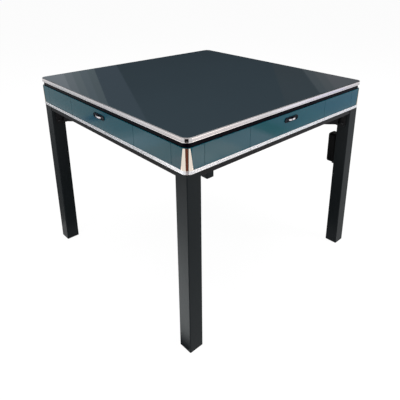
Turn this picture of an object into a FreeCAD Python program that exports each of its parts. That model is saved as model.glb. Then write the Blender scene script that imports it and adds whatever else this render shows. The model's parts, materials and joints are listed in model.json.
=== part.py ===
"""Four-legged automatic mahjong table with a lift-off dining cover and four drawers.

Millimetres, +Z up, origin on the floor under the middle of the table.
The front is -Y, the left is -X. Whatever repeats on the four sides is drawn
once on the front side and turned about Z.
"""
import FreeCAD, Part
import math
import os

V = FreeCAD.Vector

# ---------------------------------------------------------------- driving sizes
TABLE_HEIGHT = 760.0          # floor to the top of the cover
TOP_SIZE = 940.0              # square, across the edge band
CORNER_RADIUS = 24.0          # outer corners of the band, posts and lower trim

# cover that turns the game table into a dining table
GLASS_THICKNESS = 5.0
COVER_BOARD_THICKNESS = 9.0
BAND_WALL = 3.0
BAND_LIP_THICKNESS = 1.5
BAND_LIP_WIDTH = 10.0
BAND_GROOVE_HEIGHT = 7.0
BAND_GROOVE_DEPTH = 0.9
PAD_THICKNESS = 5.0
PAD_WIDTH = 22.0
PAD_LENGTH = 90.0
PAD_SPREAD = 190.0            # middle of the side to the middle of a pad

# raised rim and playing surface
RIM_SETBACK = 5.5             # rim, playing board and apron behind the band's face
RIM_WIDTH = 48.0
RIM_HEIGHT = 15.0
RIM_CHAMFER = 6.0
PLAYING_BOARD_THICKNESS = 10.0
CLOTH_THICKNESS = 1.5
CLOTH_GAP = 0.3

# apron, panels and trim
PANEL_SETBACK = 2.0           # coloured panels behind the band's face
PANEL_HEIGHT = 68.5
PANEL_LIP = 3.0               # panels stand this far above the playing board's top
TRIM_HEIGHT = 11.0
TRIM_GROOVE_DEPTH = 1.3
TRIM_GROOVE_HEIGHT = 1.6
TRIM_GROOVE_COUNT = 2
TRIM_CAP_REACH = 6.0          # corner cap beyond the start of the rounding
APRON_SHOWING = 5.5           # apron and pan below the trim
APRON_THICKNESS = 15.0
APRON_TOP_RAIL = 12.0
CORNER_PANEL_WIDTH = 70.0     # table's corner to the first upright seam
SEAM_GAP = 1.0
POST_WIDTH_TOP = 16.5
POST_WIDTH_BOTTOM = 25.0

# base
PAN_THICKNESS = 1.5
BASE_SETBACK = 8.0
BASE_BAR_WIDTH = 40.0
BASE_BAR_HEIGHT = 16.0
BASE_BAR_WALL = 1.5
BEAM_WIDTH = 40.0
BEAM_HEIGHT = 70.0
BEAM_WALL = 2.0

# legs
LEG_SIZE = 54.0
LEG_INSET = 6.0
LEG_WALL = 2.0
LEG_RADIUS = 3.0
LEG_TOP_PLATE = 4.0
FOOT_FLANGE = 4.0
FOOT_PLUG_DEPTH = 15.0
FOOT_PLUG_GAP = 0.2
BRACKET_THICKNESS = 4.0
BRACKET_WING = 44.0
BRACKET_DROP = 8.0            # bracket below the cross beams
BRACKET_CHAMFER = 9.0
BOLT_RADIUS = 3.0
BOLT_GAP = 0.2
BOLT_HEAD_RADIUS = 5.5
BOLT_HEAD_TOP_RADIUS = 3.3
BOLT_HEAD_HEIGHT = 3.4
BOLT_SHANK = 14.0
BOLT_EDGE = 15.0              # bolt axis to the bracket's top and bottom edge

# drawers
DRAWER_FACE_WIDTH = 416.0
DRAWER_OVERLAY = 8.0          # face beyond the opening, each side
DRAWER_FACE_GAP = 0.5         # running gap behind the face
DRAWER_SIDE_GAP = 1.5
DRAWER_TOP_GAP = 2.0
DRAWER_BOTTOM_GAP = 0.3
DRAWER_REAR_GAP = 18.0        # behind the drawer, to the tile lift
DRAWER_WALL = 4.0
DRAWER_DIVIDER = 3.0
DRAWER_POCKETS = 3
DRAWER_POCKET_RADIUS = 5.0
DRAWER_STOP_GAP = 1.0
LUG_LENGTH = 15.5
LUG_WIDTH = 5.0
LUG_HEIGHT = 4.0
LUG_RISE = 23.0               # drawer floor to the lug's underside
LUG_GAP = 0.4
GUIDE_LEDGE_HEIGHT = 3.0
GUIDE_LEDGE_REACH = 10.0
GUIDE_WALL = 12.0
GUIDE_HEIGHT = 44.0
GUIDE_SIDE_GAP = 1.0

# drawer pull
PULL_WIDTH = 72.0
PULL_HEIGHT = 17.0
PULL_PLATE = 3.0
PULL_BELOW_PANEL_TOP = 22.0    # panel top to the middle of the pull
GRIP_WIDTH = 30.0
GRIP_HEIGHT = 6.0
GRIP_REACH = 6.0
GRIP_ROUND = 1.5

# tile lifts
LIFT_CORNER_GAP = 1.0         # between the guides of neighbouring lifts
LIFT_BOARD_WIDTH = 42.0
LIFT_BOWL_GAP = 13.0
LIFT_BOARD_THICKNESS = 8.0
LIFT_SLOT_GAP = 1.0
CARRIAGE_WIDTH = 20.0
CARRIAGE_HEIGHT = 14.5
TONGUE_LENGTH = 8.0
TONGUE_WIDTH = 8.0
TONGUE_GAP = 0.4
TONGUE_STOP_GAP = 0.5
LIFT_GUIDE_GAP = 2.0
LIFT_GUIDE_THICKNESS = 14.0
LIFT_GUIDE_WIDTH = 30.0
LIFT_GUIDE_BELT_GAP = 4.0     # guides end this far above the drive belt
LIFT_LOW_GAP = 2.0            # lowered carriage above the guides' lower ends

# shuffling bowl, disc and drive
BOWL_RADIUS = 262.0
BOWL_WALL = 3.0
BOWL_WALL_TOP_GAP = 16.0      # below the playing board
BOWL_FLOOR_RISE = 18.5        # above the pan
DISC_EDGE_GAP = 23.0
DISC_THICKNESS = 4.0
DISC_FLOOR_GAP = 5.0
DISC_HUB_WALL = 11.7
DISC_HUB_TOP_GAP = 18.0       # below the column's flange
HUB_PAN_GAP = 0.6
TURNING_GAP = 0.3
COLUMN_RADIUS = 34.0
COLUMN_BORE = 28.0
COLUMN_FLANGE_RADIUS = 52.0
COLUMN_FLANGE_THICKNESS = 4.0
DISC_PULLEY_RADIUS = 70.0
MOTOR_PULLEY_RADIUS = 14.0
PULLEY_HEIGHT = 10.0
PULLEY_PAN_GAP = 2.5
BELT_HEIGHT = 8.0
BELT_THICKNESS = 1.5
BELT_WINDOW_GAP = 4.0
MOTOR_WALL_GAP = 20.0         # motor flange to the apron, both ways
MOTOR_RADIUS = 28.0
MOTOR_HEIGHT = 44.0
MOTOR_FLANGE = 70.0
MOTOR_FLANGE_THICKNESS = 3.0
MOTOR_FLANGE_RISE = 14.5
MOTOR_PILLAR_RADIUS = 4.0
MOTOR_PILLAR_EDGE = 7.0
MOTOR_SHAFT_RADIUS = 4.0
MOTOR_SHAFT_HOLD = 5.0        # shaft inside the motor
POWER_BOX_LENGTH = 100.0
POWER_BOX_WIDTH = 70.0
POWER_BOX_HEIGHT = 42.0
ELECTRONICS_WALL_GAP = 15.0   # power box and circuit board to the apron
CIRCUIT_LENGTH = 100.0
CIRCUIT_WIDTH = 75.0
CIRCUIT_THICKNESS = 1.6
CIRCUIT_RISE = 8.0
CIRCUIT_PILLAR_RADIUS = 3.0
CIRCUIT_PILLAR_EDGE = 6.0
CHIP_LENGTH = 34.0
CHIP_HEIGHT = 16.0

# console in the middle of the playing surface
CONSOLE_RADIUS = 118.0
CONSOLE_GAP = 1.0
CONSOLE_DROP = 4.0            # below the playing board's underside
CONSOLE_PROUD = 4.0           # above the cloth
CONSOLE_CHAMFER = 1.5
DICE_WELL_RADIUS = 37.0
DICE_WELL_DEPTH = 9.5
DOME_GAP = 1.0
DOME_HEIGHT = 18.0
DOME_WALL = 1.5
DIE_SIZE = 12.0
DIE_SPREAD = 9.0
DIE_ROUND = 1.2
BUTTON_DISTANCE = 85.0
BUTTON_LENGTH = 26.0
BUTTON_WIDTH = 13.0
BUTTON_HEIGHT = 5.0
BUTTON_PROUD = 2.2
BUTTON_ROUND = 4.0
BUTTON_SIDE_GAP = 0.4
BUTTON_TRAVEL = 1.5
BUTTON_BOTTOM_GAP = 0.5

# power adapter on the front right leg
ADAPTER_DROP = 48.0           # leg bracket to the adapter's top
ADAPTER_HEIGHT = 133.0
ADAPTER_WIDTH = 44.0
ADAPTER_DEPTH = 38.0
ADAPTER_ROUND = 7.0
CRADLE_THICKNESS = 3.0
CRADLE_WIDTH = 34.0
CRADLE_SHELF = 4.0
CRADLE_SHELF_GAP = 2.0        # shelf's end to the cable gland
CRADLE_TAB = 18.0             # screw tab above and below the adapter
GLAND_RADIUS = 6.0
GLAND_LENGTH = 6.0
GLAND_FROM_FACE = 20.0        # gland axis behind the adapter's outer face

# ---------------------------------------------------------------- worked-out levels
HALF = TOP_SIZE / 2.0
BAND_HEIGHT = GLASS_THICKNESS + COVER_BOARD_THICKNESS + BAND_LIP_THICKNESS
BAND_BOTTOM = TABLE_HEIGHT - BAND_HEIGHT
COVER_UNDERSIDE = BAND_BOTTOM + BAND_LIP_THICKNESS
GLASS_UNDERSIDE = TABLE_HEIGHT - GLASS_THICKNESS
RIM_TOP = COVER_UNDERSIDE - PAD_THICKNESS
BOARD_TOP = RIM_TOP - RIM_HEIGHT
BOARD_BOTTOM = BOARD_TOP - PLAYING_BOARD_THICKNESS
CLOTH_TOP = BOARD_TOP + CLOTH_THICKNESS
PANEL_TOP = BOARD_TOP + PANEL_LIP
TRIM_TOP = PANEL_TOP - PANEL_HEIGHT
TRIM_BOTTOM = TRIM_TOP - TRIM_HEIGHT
PAN_BOTTOM = TRIM_BOTTOM - APRON_SHOWING
PAN_TOP = PAN_BOTTOM + PAN_THICKNESS
BASE_BOTTOM = PAN_BOTTOM - BASE_BAR_HEIGHT
BEAM_BOTTOM = PAN_BOTTOM - BEAM_HEIGHT
BRACKET_BOTTOM = BEAM_BOTTOM - BRACKET_DROP

RIM_HALF = HALF - RIM_SETBACK
RIM_RADIUS = CORNER_RADIUS - RIM_SETBACK
PANEL_HALF = HALF - PANEL_SETBACK
PANEL_RADIUS = CORNER_RADIUS - PANEL_SETBACK
APRON_INNER = RIM_HALF - APRON_THICKNESS
SEAM_HALF = DRAWER_FACE_WIDTH / 2.0 + SEAM_GAP / 2.0
CORNER_SEAM = HALF - CORNER_PANEL_WIDTH
OPENING_HALF = DRAWER_FACE_WIDTH / 2.0 - DRAWER_OVERLAY
LEG_CENTRE = HALF - LEG_INSET - LEG_SIZE / 2.0
LEG_INNER = LEG_CENTRE - LEG_SIZE / 2.0
BRACKET_INNER = LEG_INNER - BRACKET_THICKNESS
BRACKET_BOLT_LEVELS = (BRACKET_BOTTOM + BOLT_EDGE, BASE_BOTTOM - BOLT_EDGE)

LIFT_DISTANCE = BOWL_RADIUS + LIFT_BOWL_GAP + LIFT_BOARD_WIDTH / 2.0
LIFT_BOARD_HALF = (LIFT_DISTANCE - LIFT_GUIDE_WIDTH / 2.0 - LIFT_GUIDE_THICKNESS
                   - LIFT_GUIDE_GAP - LIFT_CORNER_GAP)

DRAWER_HALF = OPENING_HALF - DRAWER_SIDE_GAP
DRAWER_FRONT = RIM_HALF + DRAWER_FACE_GAP
DRAWER_REAR = LIFT_DISTANCE + LIFT_BOARD_WIDTH / 2.0 + DRAWER_REAR_GAP
DRAWER_BOTTOM = PAN_TOP + GUIDE_LEDGE_HEIGHT + DRAWER_BOTTOM_GAP
DRAWER_TOP = BOARD_BOTTOM - APRON_TOP_RAIL - DRAWER_TOP_GAP
LUG_BOTTOM = DRAWER_BOTTOM + LUG_RISE
LUG_FRONT = DRAWER_REAR + LUG_LENGTH
DRAWER_TRAVEL = APRON_INNER - LUG_FRONT - DRAWER_STOP_GAP

CARRIAGE_TOP = CLOTH_TOP - LIFT_BOARD_THICKNESS
TONGUE_TOP = BOARD_BOTTOM - TONGUE_STOP_GAP
CARRIAGE_BOTTOM = CARRIAGE_TOP - CARRIAGE_HEIGHT

BOWL_FLOOR_TOP = PAN_TOP + BOWL_FLOOR_RISE + BOWL_WALL
BOWL_TOP = BOARD_BOTTOM - BOWL_WALL_TOP_GAP
HUB_BORE = COLUMN_RADIUS + TURNING_GAP
HUB_RADIUS = HUB_BORE + DISC_HUB_WALL
CONSOLE_BOTTOM = BOARD_BOTTOM - CONSOLE_DROP
CONSOLE_TOP = CLOTH_TOP + CONSOLE_PROUD
FLANGE_BOTTOM = CONSOLE_BOTTOM - COLUMN_FLANGE_THICKNESS
DISC_BOTTOM = BOWL_FLOOR_TOP + DISC_FLOOR_GAP
DISC_RADIUS = BOWL_RADIUS - BOWL_WALL - DISC_EDGE_GAP
PULLEY_BOTTOM = PAN_TOP + PULLEY_PAN_GAP
PULLEY_TOP = PULLEY_BOTTOM + PULLEY_HEIGHT
BELT_BOTTOM = PULLEY_BOTTOM + (PULLEY_HEIGHT - BELT_HEIGHT) / 2.0
LIFT_GUIDE_BOTTOM = BELT_BOTTOM + BELT_HEIGHT + LIFT_GUIDE_BELT_GAP
LIFT_TRAVEL = CARRIAGE_BOTTOM - LIFT_GUIDE_BOTTOM - LIFT_LOW_GAP
MOTOR_FLANGE_BOTTOM = PAN_TOP + MOTOR_FLANGE_RISE
MOTOR_BODY_BOTTOM = MOTOR_FLANGE_BOTTOM + MOTOR_FLANGE_THICKNESS
MOTOR_PLACE = APRON_INNER - MOTOR_WALL_GAP - MOTOR_FLANGE / 2.0

ADAPTER_BOTTOM = BRACKET_BOTTOM - ADAPTER_DROP - ADAPTER_HEIGHT

FRONT, RIGHT, BACK, LEFT = 0.0, 90.0, 180.0, 270.0
SIDES = {"front": FRONT, "right": RIGHT, "back": BACK, "left": LEFT}
CUT_MARGIN = 2.0              # how far a cutting tool runs past what it cuts
LARGEST_ROUND = 0.49          # upright rounding, as a share of the shorter side
LARGEST_FILLET = 0.4          # any other fillet or chamfer, as a share of its wall
SAME_PLACE = 0.01             # two coordinates closer than this are the same


# ---------------------------------------------------------------- shape helpers
def box(x0, x1, y0, y1, z0, z1):
    return Part.makeBox(x1 - x0, y1 - y0, z1 - z0, V(x0, y0, z0))


def cylinder(x, y, z0, z1, radius):
    return Part.makeCylinder(radius, z1 - z0, V(x, y, z0))


def upright_edges(shape):
    def upright(edge):
        ends = [v.Point for v in edge.Vertexes]
        return len(ends) == 2 and abs((ends[1] - ends[0]).normalize().z) > 0.999
    return [edge for edge in shape.Edges if upright(edge)]


def rounded_box(x0, x1, y0, y1, z0, z1, radius):
    """A box whose four upright edges are rounded, by no more than its sides allow."""
    block = box(x0, x1, y0, y1, z0, z1)
    radius = min(radius, LARGEST_ROUND * (x1 - x0), LARGEST_ROUND * (y1 - y0))
    return block.makeFillet(radius, upright_edges(block))


def square_prism(half, radius, z0, z1):
    return rounded_box(-half, half, -half, half, z0, z1, radius)


def square_ring(outer, inner, corner, z0, z1):
    """A square ring with parallel rounded corners, corner being the outer radius."""
    inner_corner = max(corner - (outer - inner), 0.5)
    hole = square_prism(inner, inner_corner, z0 - CUT_MARGIN, z1 + CUT_MARGIN)
    return square_prism(outer, corner, z0, z1).cut(hole)


def fused(shapes):
    whole = shapes[0].multiFuse(shapes[1:])
    return whole.removeSplitter()


def turned(shape, angle):
    copy = shape.copy()
    copy.rotate(V(0, 0, 0), V(0, 0, 1), angle)
    return copy


def on_four_sides(shapes):
    return [turned(shape, angle) for angle in SIDES.values() for shape in shapes]


def mirrored_x(shape):
    return shape.mirror(V(0, 0, 0), V(1, 0, 0))


def write(node, shapes):
    """Writes one node, a single solid or a group of separate solids."""
    solids = [solid for shape in shapes for solid in shape.Solids]
    whole = solids[0] if len(solids) == 1 else Part.makeCompound(solids)
    whole.exportStep("parts/" + node + ".step")
    volume = sum(solid.Volume for solid in solids)
    print("%-22s %2d solids %12.0f mm3" % (node, len(solids), volume))


# ---------------------------------------------------------------- cover
def cover_glass():
    half = HALF - BAND_WALL
    return [square_prism(half, CORNER_RADIUS - BAND_WALL, GLASS_UNDERSIDE, TABLE_HEIGHT)]


def cover_board():
    half = HALF - BAND_WALL
    return [square_prism(half, CORNER_RADIUS - BAND_WALL, COVER_UNDERSIDE, GLASS_UNDERSIDE)]


def cover_edge_band():
    """Aluminium band: a wall with two edge beads and a lip under the board."""
    wall = square_ring(HALF, HALF - BAND_WALL, CORNER_RADIUS, BAND_BOTTOM, TABLE_HEIGHT)
    lip_inner = HALF - BAND_WALL - BAND_LIP_WIDTH
    lip = square_ring(HALF - BAND_WALL / 2.0, lip_inner, CORNER_RADIUS - BAND_WALL / 2.0,
                      BAND_BOTTOM, COVER_UNDERSIDE)
    middle = (BAND_BOTTOM + TABLE_HEIGHT) / 2.0
    groove = square_ring(HALF + CUT_MARGIN, HALF - BAND_GROOVE_DEPTH, CORNER_RADIUS + CUT_MARGIN,
                         middle - BAND_GROOVE_HEIGHT / 2.0, middle + BAND_GROOVE_HEIGHT / 2.0)
    return [fused([wall, lip]).cut(groove)]


def cover_pads():
    """Two rubber strips per side under the cover board, resting on the rim."""
    centre = RIM_HALF - RIM_WIDTH / 2.0
    half_width, half_length = PAD_WIDTH / 2.0, PAD_LENGTH / 2.0
    strips = [rounded_box(x - half_length, x + half_length, -centre - half_width,
                          -centre + half_width, RIM_TOP, COVER_UNDERSIDE, half_width)
              for x in (-PAD_SPREAD, PAD_SPREAD)]
    return on_four_sides(strips)


# ---------------------------------------------------------------- rim and playing surface
def mitre_wedge(z0, z1):
    """The front quarter of the plan, between the two diagonals."""
    reach = HALF + CUT_MARGIN
    corners = [V(0, 0, z0), V(-reach, -reach, z0), V(reach, -reach, z0), V(0, 0, z0)]
    return Part.Face(Part.makePolygon(corners)).extrude(V(0, 0, z1 - z0))


def rim_frame():
    """Four mitred rails with a chamfer towards the playing cloth."""
    inner = RIM_HALF - RIM_WIDTH
    outline = square_prism(RIM_HALF, RIM_RADIUS, BOARD_TOP, RIM_TOP)
    hole = box(-inner, inner, -inner, inner, BOARD_TOP - CUT_MARGIN, RIM_TOP + CUT_MARGIN)
    ring = outline.cut(hole)
    chamfer = min(RIM_CHAMFER, LARGEST_FILLET * RIM_HEIGHT)
    low, high = inner, inner + chamfer + CUT_MARGIN
    z_low, z_high = RIM_TOP - chamfer, RIM_TOP + CUT_MARGIN
    wires = [Part.makePolygon([V(-h, -h, z), V(h, -h, z), V(h, h, z), V(-h, h, z), V(-h, -h, z)])
             for h, z in ((low, z_low), (high, z_high))]
    ring = ring.cut(Part.makeLoft(wires, True, True))
    rail = ring.common(mitre_wedge(BOARD_TOP - CUT_MARGIN, RIM_TOP + CUT_MARGIN))
    return on_four_sides([rail])


def surface_cutouts(z0, z1):
    """The four tile-lift slots and the console hole, as one set of tools."""
    half_length = LIFT_BOARD_HALF + LIFT_SLOT_GAP
    half_width = LIFT_BOARD_WIDTH / 2.0 + LIFT_SLOT_GAP
    slot = box(-half_length, half_length, -LIFT_DISTANCE - half_width,
               -LIFT_DISTANCE + half_width, z0, z1)
    return on_four_sides([slot]) + [cylinder(0, 0, z0, z1, CONSOLE_RADIUS + CONSOLE_GAP)]


def playing_board():
    board = square_prism(RIM_HALF, RIM_RADIUS, BOARD_BOTTOM, BOARD_TOP)
    for tool in surface_cutouts(BOARD_BOTTOM - CUT_MARGIN, BOARD_TOP + CUT_MARGIN):
        board = board.cut(tool)
    return [board]


def playing_cloth():
    half = RIM_HALF - RIM_WIDTH - CLOTH_GAP
    cloth = box(-half, half, -half, half, BOARD_TOP, CLOTH_TOP)
    for tool in surface_cutouts(BOARD_TOP - CUT_MARGIN, CLOTH_TOP + CUT_MARGIN):
        cloth = cloth.cut(tool)
    return [cloth]


# ---------------------------------------------------------------- apron, panels and trim
def apron_boards():
    """Each side: two boards beside the drawer opening and a rail above it."""
    envelope = square_prism(RIM_HALF, RIM_RADIUS, PAN_TOP, BOARD_BOTTOM)
    boards = []
    for name, angle in SIDES.items():
        end = RIM_HALF if name in ("front", "back") else APRON_INNER
        board = box(OPENING_HALF, end, -RIM_HALF, -APRON_INNER, PAN_TOP, BOARD_BOTTOM)
        rail = box(-OPENING_HALF, OPENING_HALF, -RIM_HALF, -APRON_INNER,
                   BOARD_BOTTOM - APRON_TOP_RAIL, BOARD_BOTTOM)
        for piece in (board, mirrored_x(board), rail):
            boards.append(turned(piece.common(envelope), angle))
    return boards


def side_panels():
    """Coloured panels: one beside each drawer seam and one bent round each corner."""
    plate = box(SEAM_HALF, CORNER_SEAM - SEAM_GAP / 2.0, -PANEL_HALF, -RIM_HALF,
                TRIM_TOP, PANEL_TOP)
    ring = square_ring(PANEL_HALF, RIM_HALF, PANEL_RADIUS, TRIM_TOP, PANEL_TOP)
    start = CORNER_SEAM + SEAM_GAP / 2.0
    corner = ring.common(box(start, HALF, -HALF, -start, TRIM_TOP, PANEL_TOP))
    return on_four_sides([plate, mirrored_x(plate), corner])


def corner_posts():
    """Polished corner covers that widen towards the bottom."""
    ring = square_ring(HALF, PANEL_HALF, CORNER_RADIUS, TRIM_TOP, PANEL_TOP)
    outer = HALF + CUT_MARGIN
    wires = []
    for width, z in ((POST_WIDTH_BOTTOM, TRIM_TOP), (POST_WIDTH_TOP, PANEL_TOP)):
        inner = HALF - width
        wires.append(Part.makePolygon([V(inner, -inner, z), V(outer, -inner, z), V(outer, -outer, z),
                                       V(inner, -outer, z), V(inner, -inner, z)]))
    return on_four_sides([ring.common(Part.makeLoft(wires, True, True))])


def trim_ring(inner):
    """The lower aluminium trim as one ring, with its lengthwise grooves."""
    ring = square_ring(HALF, inner, CORNER_RADIUS, TRIM_BOTTOM, TRIM_TOP)
    pitch = TRIM_HEIGHT / (TRIM_GROOVE_COUNT + 1)
    for number in range(TRIM_GROOVE_COUNT):
        middle = TRIM_BOTTOM + pitch * (number + 1)
        groove = square_ring(HALF + CUT_MARGIN, HALF - TRIM_GROOVE_DEPTH,
                             CORNER_RADIUS + CUT_MARGIN, middle - TRIM_GROOVE_HEIGHT / 2.0,
                             middle + TRIM_GROOVE_HEIGHT / 2.0)
        ring = ring.cut(groove)
    return ring


def lower_trim():
    """Fixed trim: a strip each side of the drawers and a cap round each corner."""
    ring = trim_ring(RIM_HALF)
    cap_start = HALF - CORNER_RADIUS - TRIM_CAP_REACH
    strip = ring.common(box(SEAM_HALF, cap_start, -HALF, -RIM_HALF, TRIM_BOTTOM, TRIM_TOP))
    cap = ring.common(box(cap_start, HALF, -HALF, -cap_start, TRIM_BOTTOM, TRIM_TOP))
    return on_four_sides([strip, mirrored_x(strip), cap])


# ---------------------------------------------------------------- base and legs
def base_pan():
    return [square_prism(RIM_HALF, RIM_RADIUS, PAN_BOTTOM, PAN_TOP)]


def base_frame():
    """Four hollow bars between the legs."""
    outer = HALF - BASE_SETBACK
    inner = outer - BASE_BAR_WIDTH
    bar = box(-LEG_INNER, LEG_INNER, -outer, -inner, BASE_BOTTOM, PAN_BOTTOM)
    bore = box(-LEG_INNER - CUT_MARGIN, LEG_INNER + CUT_MARGIN, -outer + BASE_BAR_WALL,
               -inner - BASE_BAR_WALL, BASE_BOTTOM + BASE_BAR_WALL, PAN_BOTTOM - BASE_BAR_WALL)
    return on_four_sides([bar.cut(bore)])


def diagonal_tube(angle, start, end):
    """A hollow beam along a diagonal of the plan, from start to end off the middle."""
    half = BEAM_WIDTH / 2.0
    outside = box(start, end, -half, half, BEAM_BOTTOM, PAN_BOTTOM)
    inside = box(start - CUT_MARGIN, end + CUT_MARGIN, -half + BEAM_WALL, half - BEAM_WALL,
                 BEAM_BOTTOM + BEAM_WALL, PAN_BOTTOM - BEAM_WALL)
    return turned(outside.cut(inside), angle)


def cross_frame():
    """One beam through and two half beams butted against it, notched round the brackets."""
    reach = HALF * math.sqrt(2.0)
    half = BEAM_WIDTH / 2.0
    inside = HALF - BASE_SETBACK - BASE_BAR_WIDTH
    room = box(-inside, inside, -inside, inside, BEAM_BOTTOM, PAN_BOTTOM)
    beams = [beam.common(room) for beam in (diagonal_tube(-45.0, -reach, reach),
                                            diagonal_tube(45.0, half, reach),
                                            diagonal_tube(-135.0, half, reach))]
    corner = box(BRACKET_INNER, HALF, -HALF, -BRACKET_INNER, BEAM_BOTTOM - CUT_MARGIN,
                 PAN_BOTTOM + CUT_MARGIN)
    for tool in on_four_sides([corner]):
        beams = [beam.cut(tool) for beam in beams]
    return beams


def bolt_places():
    """(x, y, z, direction) of the bracket bolts on the front right leg; each bolt points outwards."""
    places = []
    for z in BRACKET_BOLT_LEVELS:
        places.append((BRACKET_INNER, -LEG_CENTRE, z, V(1, 0, 0)))
        places.append((LEG_CENTRE, -BRACKET_INNER, z, V(0, -1, 0)))
    return places


def cradle_bolt_levels():
    below = ADAPTER_BOTTOM - CRADLE_SHELF - CRADLE_TAB / 2.0
    above = ADAPTER_BOTTOM + ADAPTER_HEIGHT + CRADLE_TAB / 2.0
    return below, above


def cradle_bolt_places():
    """Bolts through the cradle's tabs into the front right leg's rear face."""
    face = -LEG_INNER + CRADLE_THICKNESS
    return [(LEG_CENTRE, face, z, V(0, -1, 0)) for z in cradle_bolt_levels()]


def bolt_hole(place):
    x, y, z, way = place
    start = V(x, y, z) - way * CUT_MARGIN
    return Part.makeCylinder(BOLT_RADIUS + BOLT_GAP, BOLT_SHANK + 2.0 * CUT_MARGIN, start, way)


def bolt(place):
    """A button-head bolt whose head sits on the face at the place."""
    x, y, z, way = place
    seat = V(x, y, z)
    shank = Part.makeCylinder(BOLT_RADIUS, BOLT_SHANK, seat, way)
    head = Part.makeCone(BOLT_HEAD_RADIUS, BOLT_HEAD_TOP_RADIUS, BOLT_HEAD_HEIGHT, seat, way * -1)
    return fused([shank, head])


def front_right_leg(extra_holes):
    """Square tube with a welded top plate, drilled for its bolts."""
    low, high = LEG_INNER, LEG_INNER + LEG_SIZE
    tube = rounded_box(low, high, -high, -low, FOOT_FLANGE, PAN_BOTTOM, LEG_RADIUS)
    bore = rounded_box(low + LEG_WALL, high - LEG_WALL, -high + LEG_WALL, -low - LEG_WALL,
                       FOOT_FLANGE - CUT_MARGIN, PAN_BOTTOM - LEG_TOP_PLATE,
                       max(LEG_RADIUS - LEG_WALL, 0.5))
    leg = tube.cut(bore)
    for place in bolt_places() + extra_holes:
        leg = leg.cut(bolt_hole(place))
    return leg


def foot_caps():
    low, high = LEG_INNER, LEG_INNER + LEG_SIZE
    flange = rounded_box(low, high, -high, -low, 0.0, FOOT_FLANGE, LEG_RADIUS)
    edge = LEG_WALL + FOOT_PLUG_GAP
    plug = rounded_box(low + edge, high - edge, -high + edge, -low - edge, FOOT_FLANGE,
                       FOOT_FLANGE + FOOT_PLUG_DEPTH, LEG_RADIUS)
    return on_four_sides([fused([flange, plug])])


def leg_brackets():
    """Steel angles on the two inner faces of each leg, with clipped lower corners."""
    far = BRACKET_INNER + BRACKET_WING
    clip = min(BRACKET_CHAMFER, LARGEST_FILLET * BRACKET_WING)
    outline = [V(BRACKET_INNER, 0, BRACKET_BOTTOM), V(far - clip, 0, BRACKET_BOTTOM),
               V(far, 0, BRACKET_BOTTOM + clip), V(far, 0, BASE_BOTTOM),
               V(BRACKET_INNER, 0, BASE_BOTTOM), V(BRACKET_INNER, 0, BRACKET_BOTTOM)]
    wing = Part.Face(Part.makePolygon(outline)).extrude(V(0, BRACKET_THICKNESS, 0))
    wing.translate(V(0, -BRACKET_INNER - BRACKET_THICKNESS, 0))
    other = turned(mirrored_x(wing), RIGHT)
    angle = fused([wing, other])
    for place in bolt_places():
        angle = angle.cut(bolt_hole(place))
    return on_four_sides([angle])


def frame_bolts():
    return on_four_sides([bolt(p) for p in bolt_places()]) + [bolt(p) for p in cradle_bolt_places()]


# ---------------------------------------------------------------- drawers
def drawer_box():
    """Moulded tray with three pockets and a stop lug on each side at the rear."""
    tray = box(-DRAWER_HALF, DRAWER_HALF, -DRAWER_FRONT, -DRAWER_REAR, DRAWER_BOTTOM, DRAWER_TOP)
    inside = 2.0 * (DRAWER_HALF - DRAWER_WALL)
    width = (inside - DRAWER_DIVIDER * (DRAWER_POCKETS - 1)) / DRAWER_POCKETS
    front = -DRAWER_FRONT + APRON_THICKNESS
    for number in range(DRAWER_POCKETS):
        left = -DRAWER_HALF + DRAWER_WALL + number * (width + DRAWER_DIVIDER)
        pocket = rounded_box(left, left + width, front, -DRAWER_REAR - DRAWER_WALL,
                             DRAWER_BOTTOM + DRAWER_WALL, DRAWER_TOP + CUT_MARGIN,
                             DRAWER_POCKET_RADIUS)
        tray = tray.cut(pocket)
    lug = box(DRAWER_HALF - DRAWER_WALL / 2.0, DRAWER_HALF + LUG_WIDTH, -LUG_FRONT, -DRAWER_REAR,
              LUG_BOTTOM, LUG_BOTTOM + LUG_HEIGHT)
    return fused([tray, lug, mirrored_x(lug)])


def drawer_face():
    half = DRAWER_FACE_WIDTH / 2.0 - SEAM_GAP / 2.0
    return box(-half, half, -PANEL_HALF, -DRAWER_FRONT, TRIM_TOP, PANEL_TOP)


def drawer_trim():
    half = DRAWER_FACE_WIDTH / 2.0 - SEAM_GAP / 2.0
    return trim_ring(DRAWER_FRONT).common(
        box(-half, half, -HALF, -DRAWER_FRONT, TRIM_BOTTOM, TRIM_TOP))


def drawer_pull():
    """A pill-shaped plate with a solid bar to grip."""
    middle = PANEL_TOP - PULL_BELOW_PANEL_TOP
    end = PULL_HEIGHT / 2.0
    span = PULL_WIDTH / 2.0 - end
    y_face = -PANEL_HALF
    plate = box(-span, span, y_face - PULL_PLATE, y_face, middle - end, middle + end)
    ends = [Part.makeCylinder(end, PULL_PLATE, V(x, y_face - PULL_PLATE, middle), V(0, 1, 0))
            for x in (-span, span)]
    half = GRIP_WIDTH / 2.0
    tip = y_face - PULL_PLATE - GRIP_REACH
    grip = box(-half, half, tip, y_face - PULL_PLATE / 2.0,
               middle - GRIP_HEIGHT / 2.0, middle + GRIP_HEIGHT / 2.0)
    tip_edges = [e for e in grip.Edges if abs(e.BoundBox.YMax - tip) < SAME_PLACE]
    wall = min(GRIP_HEIGHT, GRIP_REACH)
    grip = grip.makeFillet(min(GRIP_ROUND, LARGEST_FILLET * wall), tip_edges)
    return fused([plate] + ends + [grip])


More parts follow.
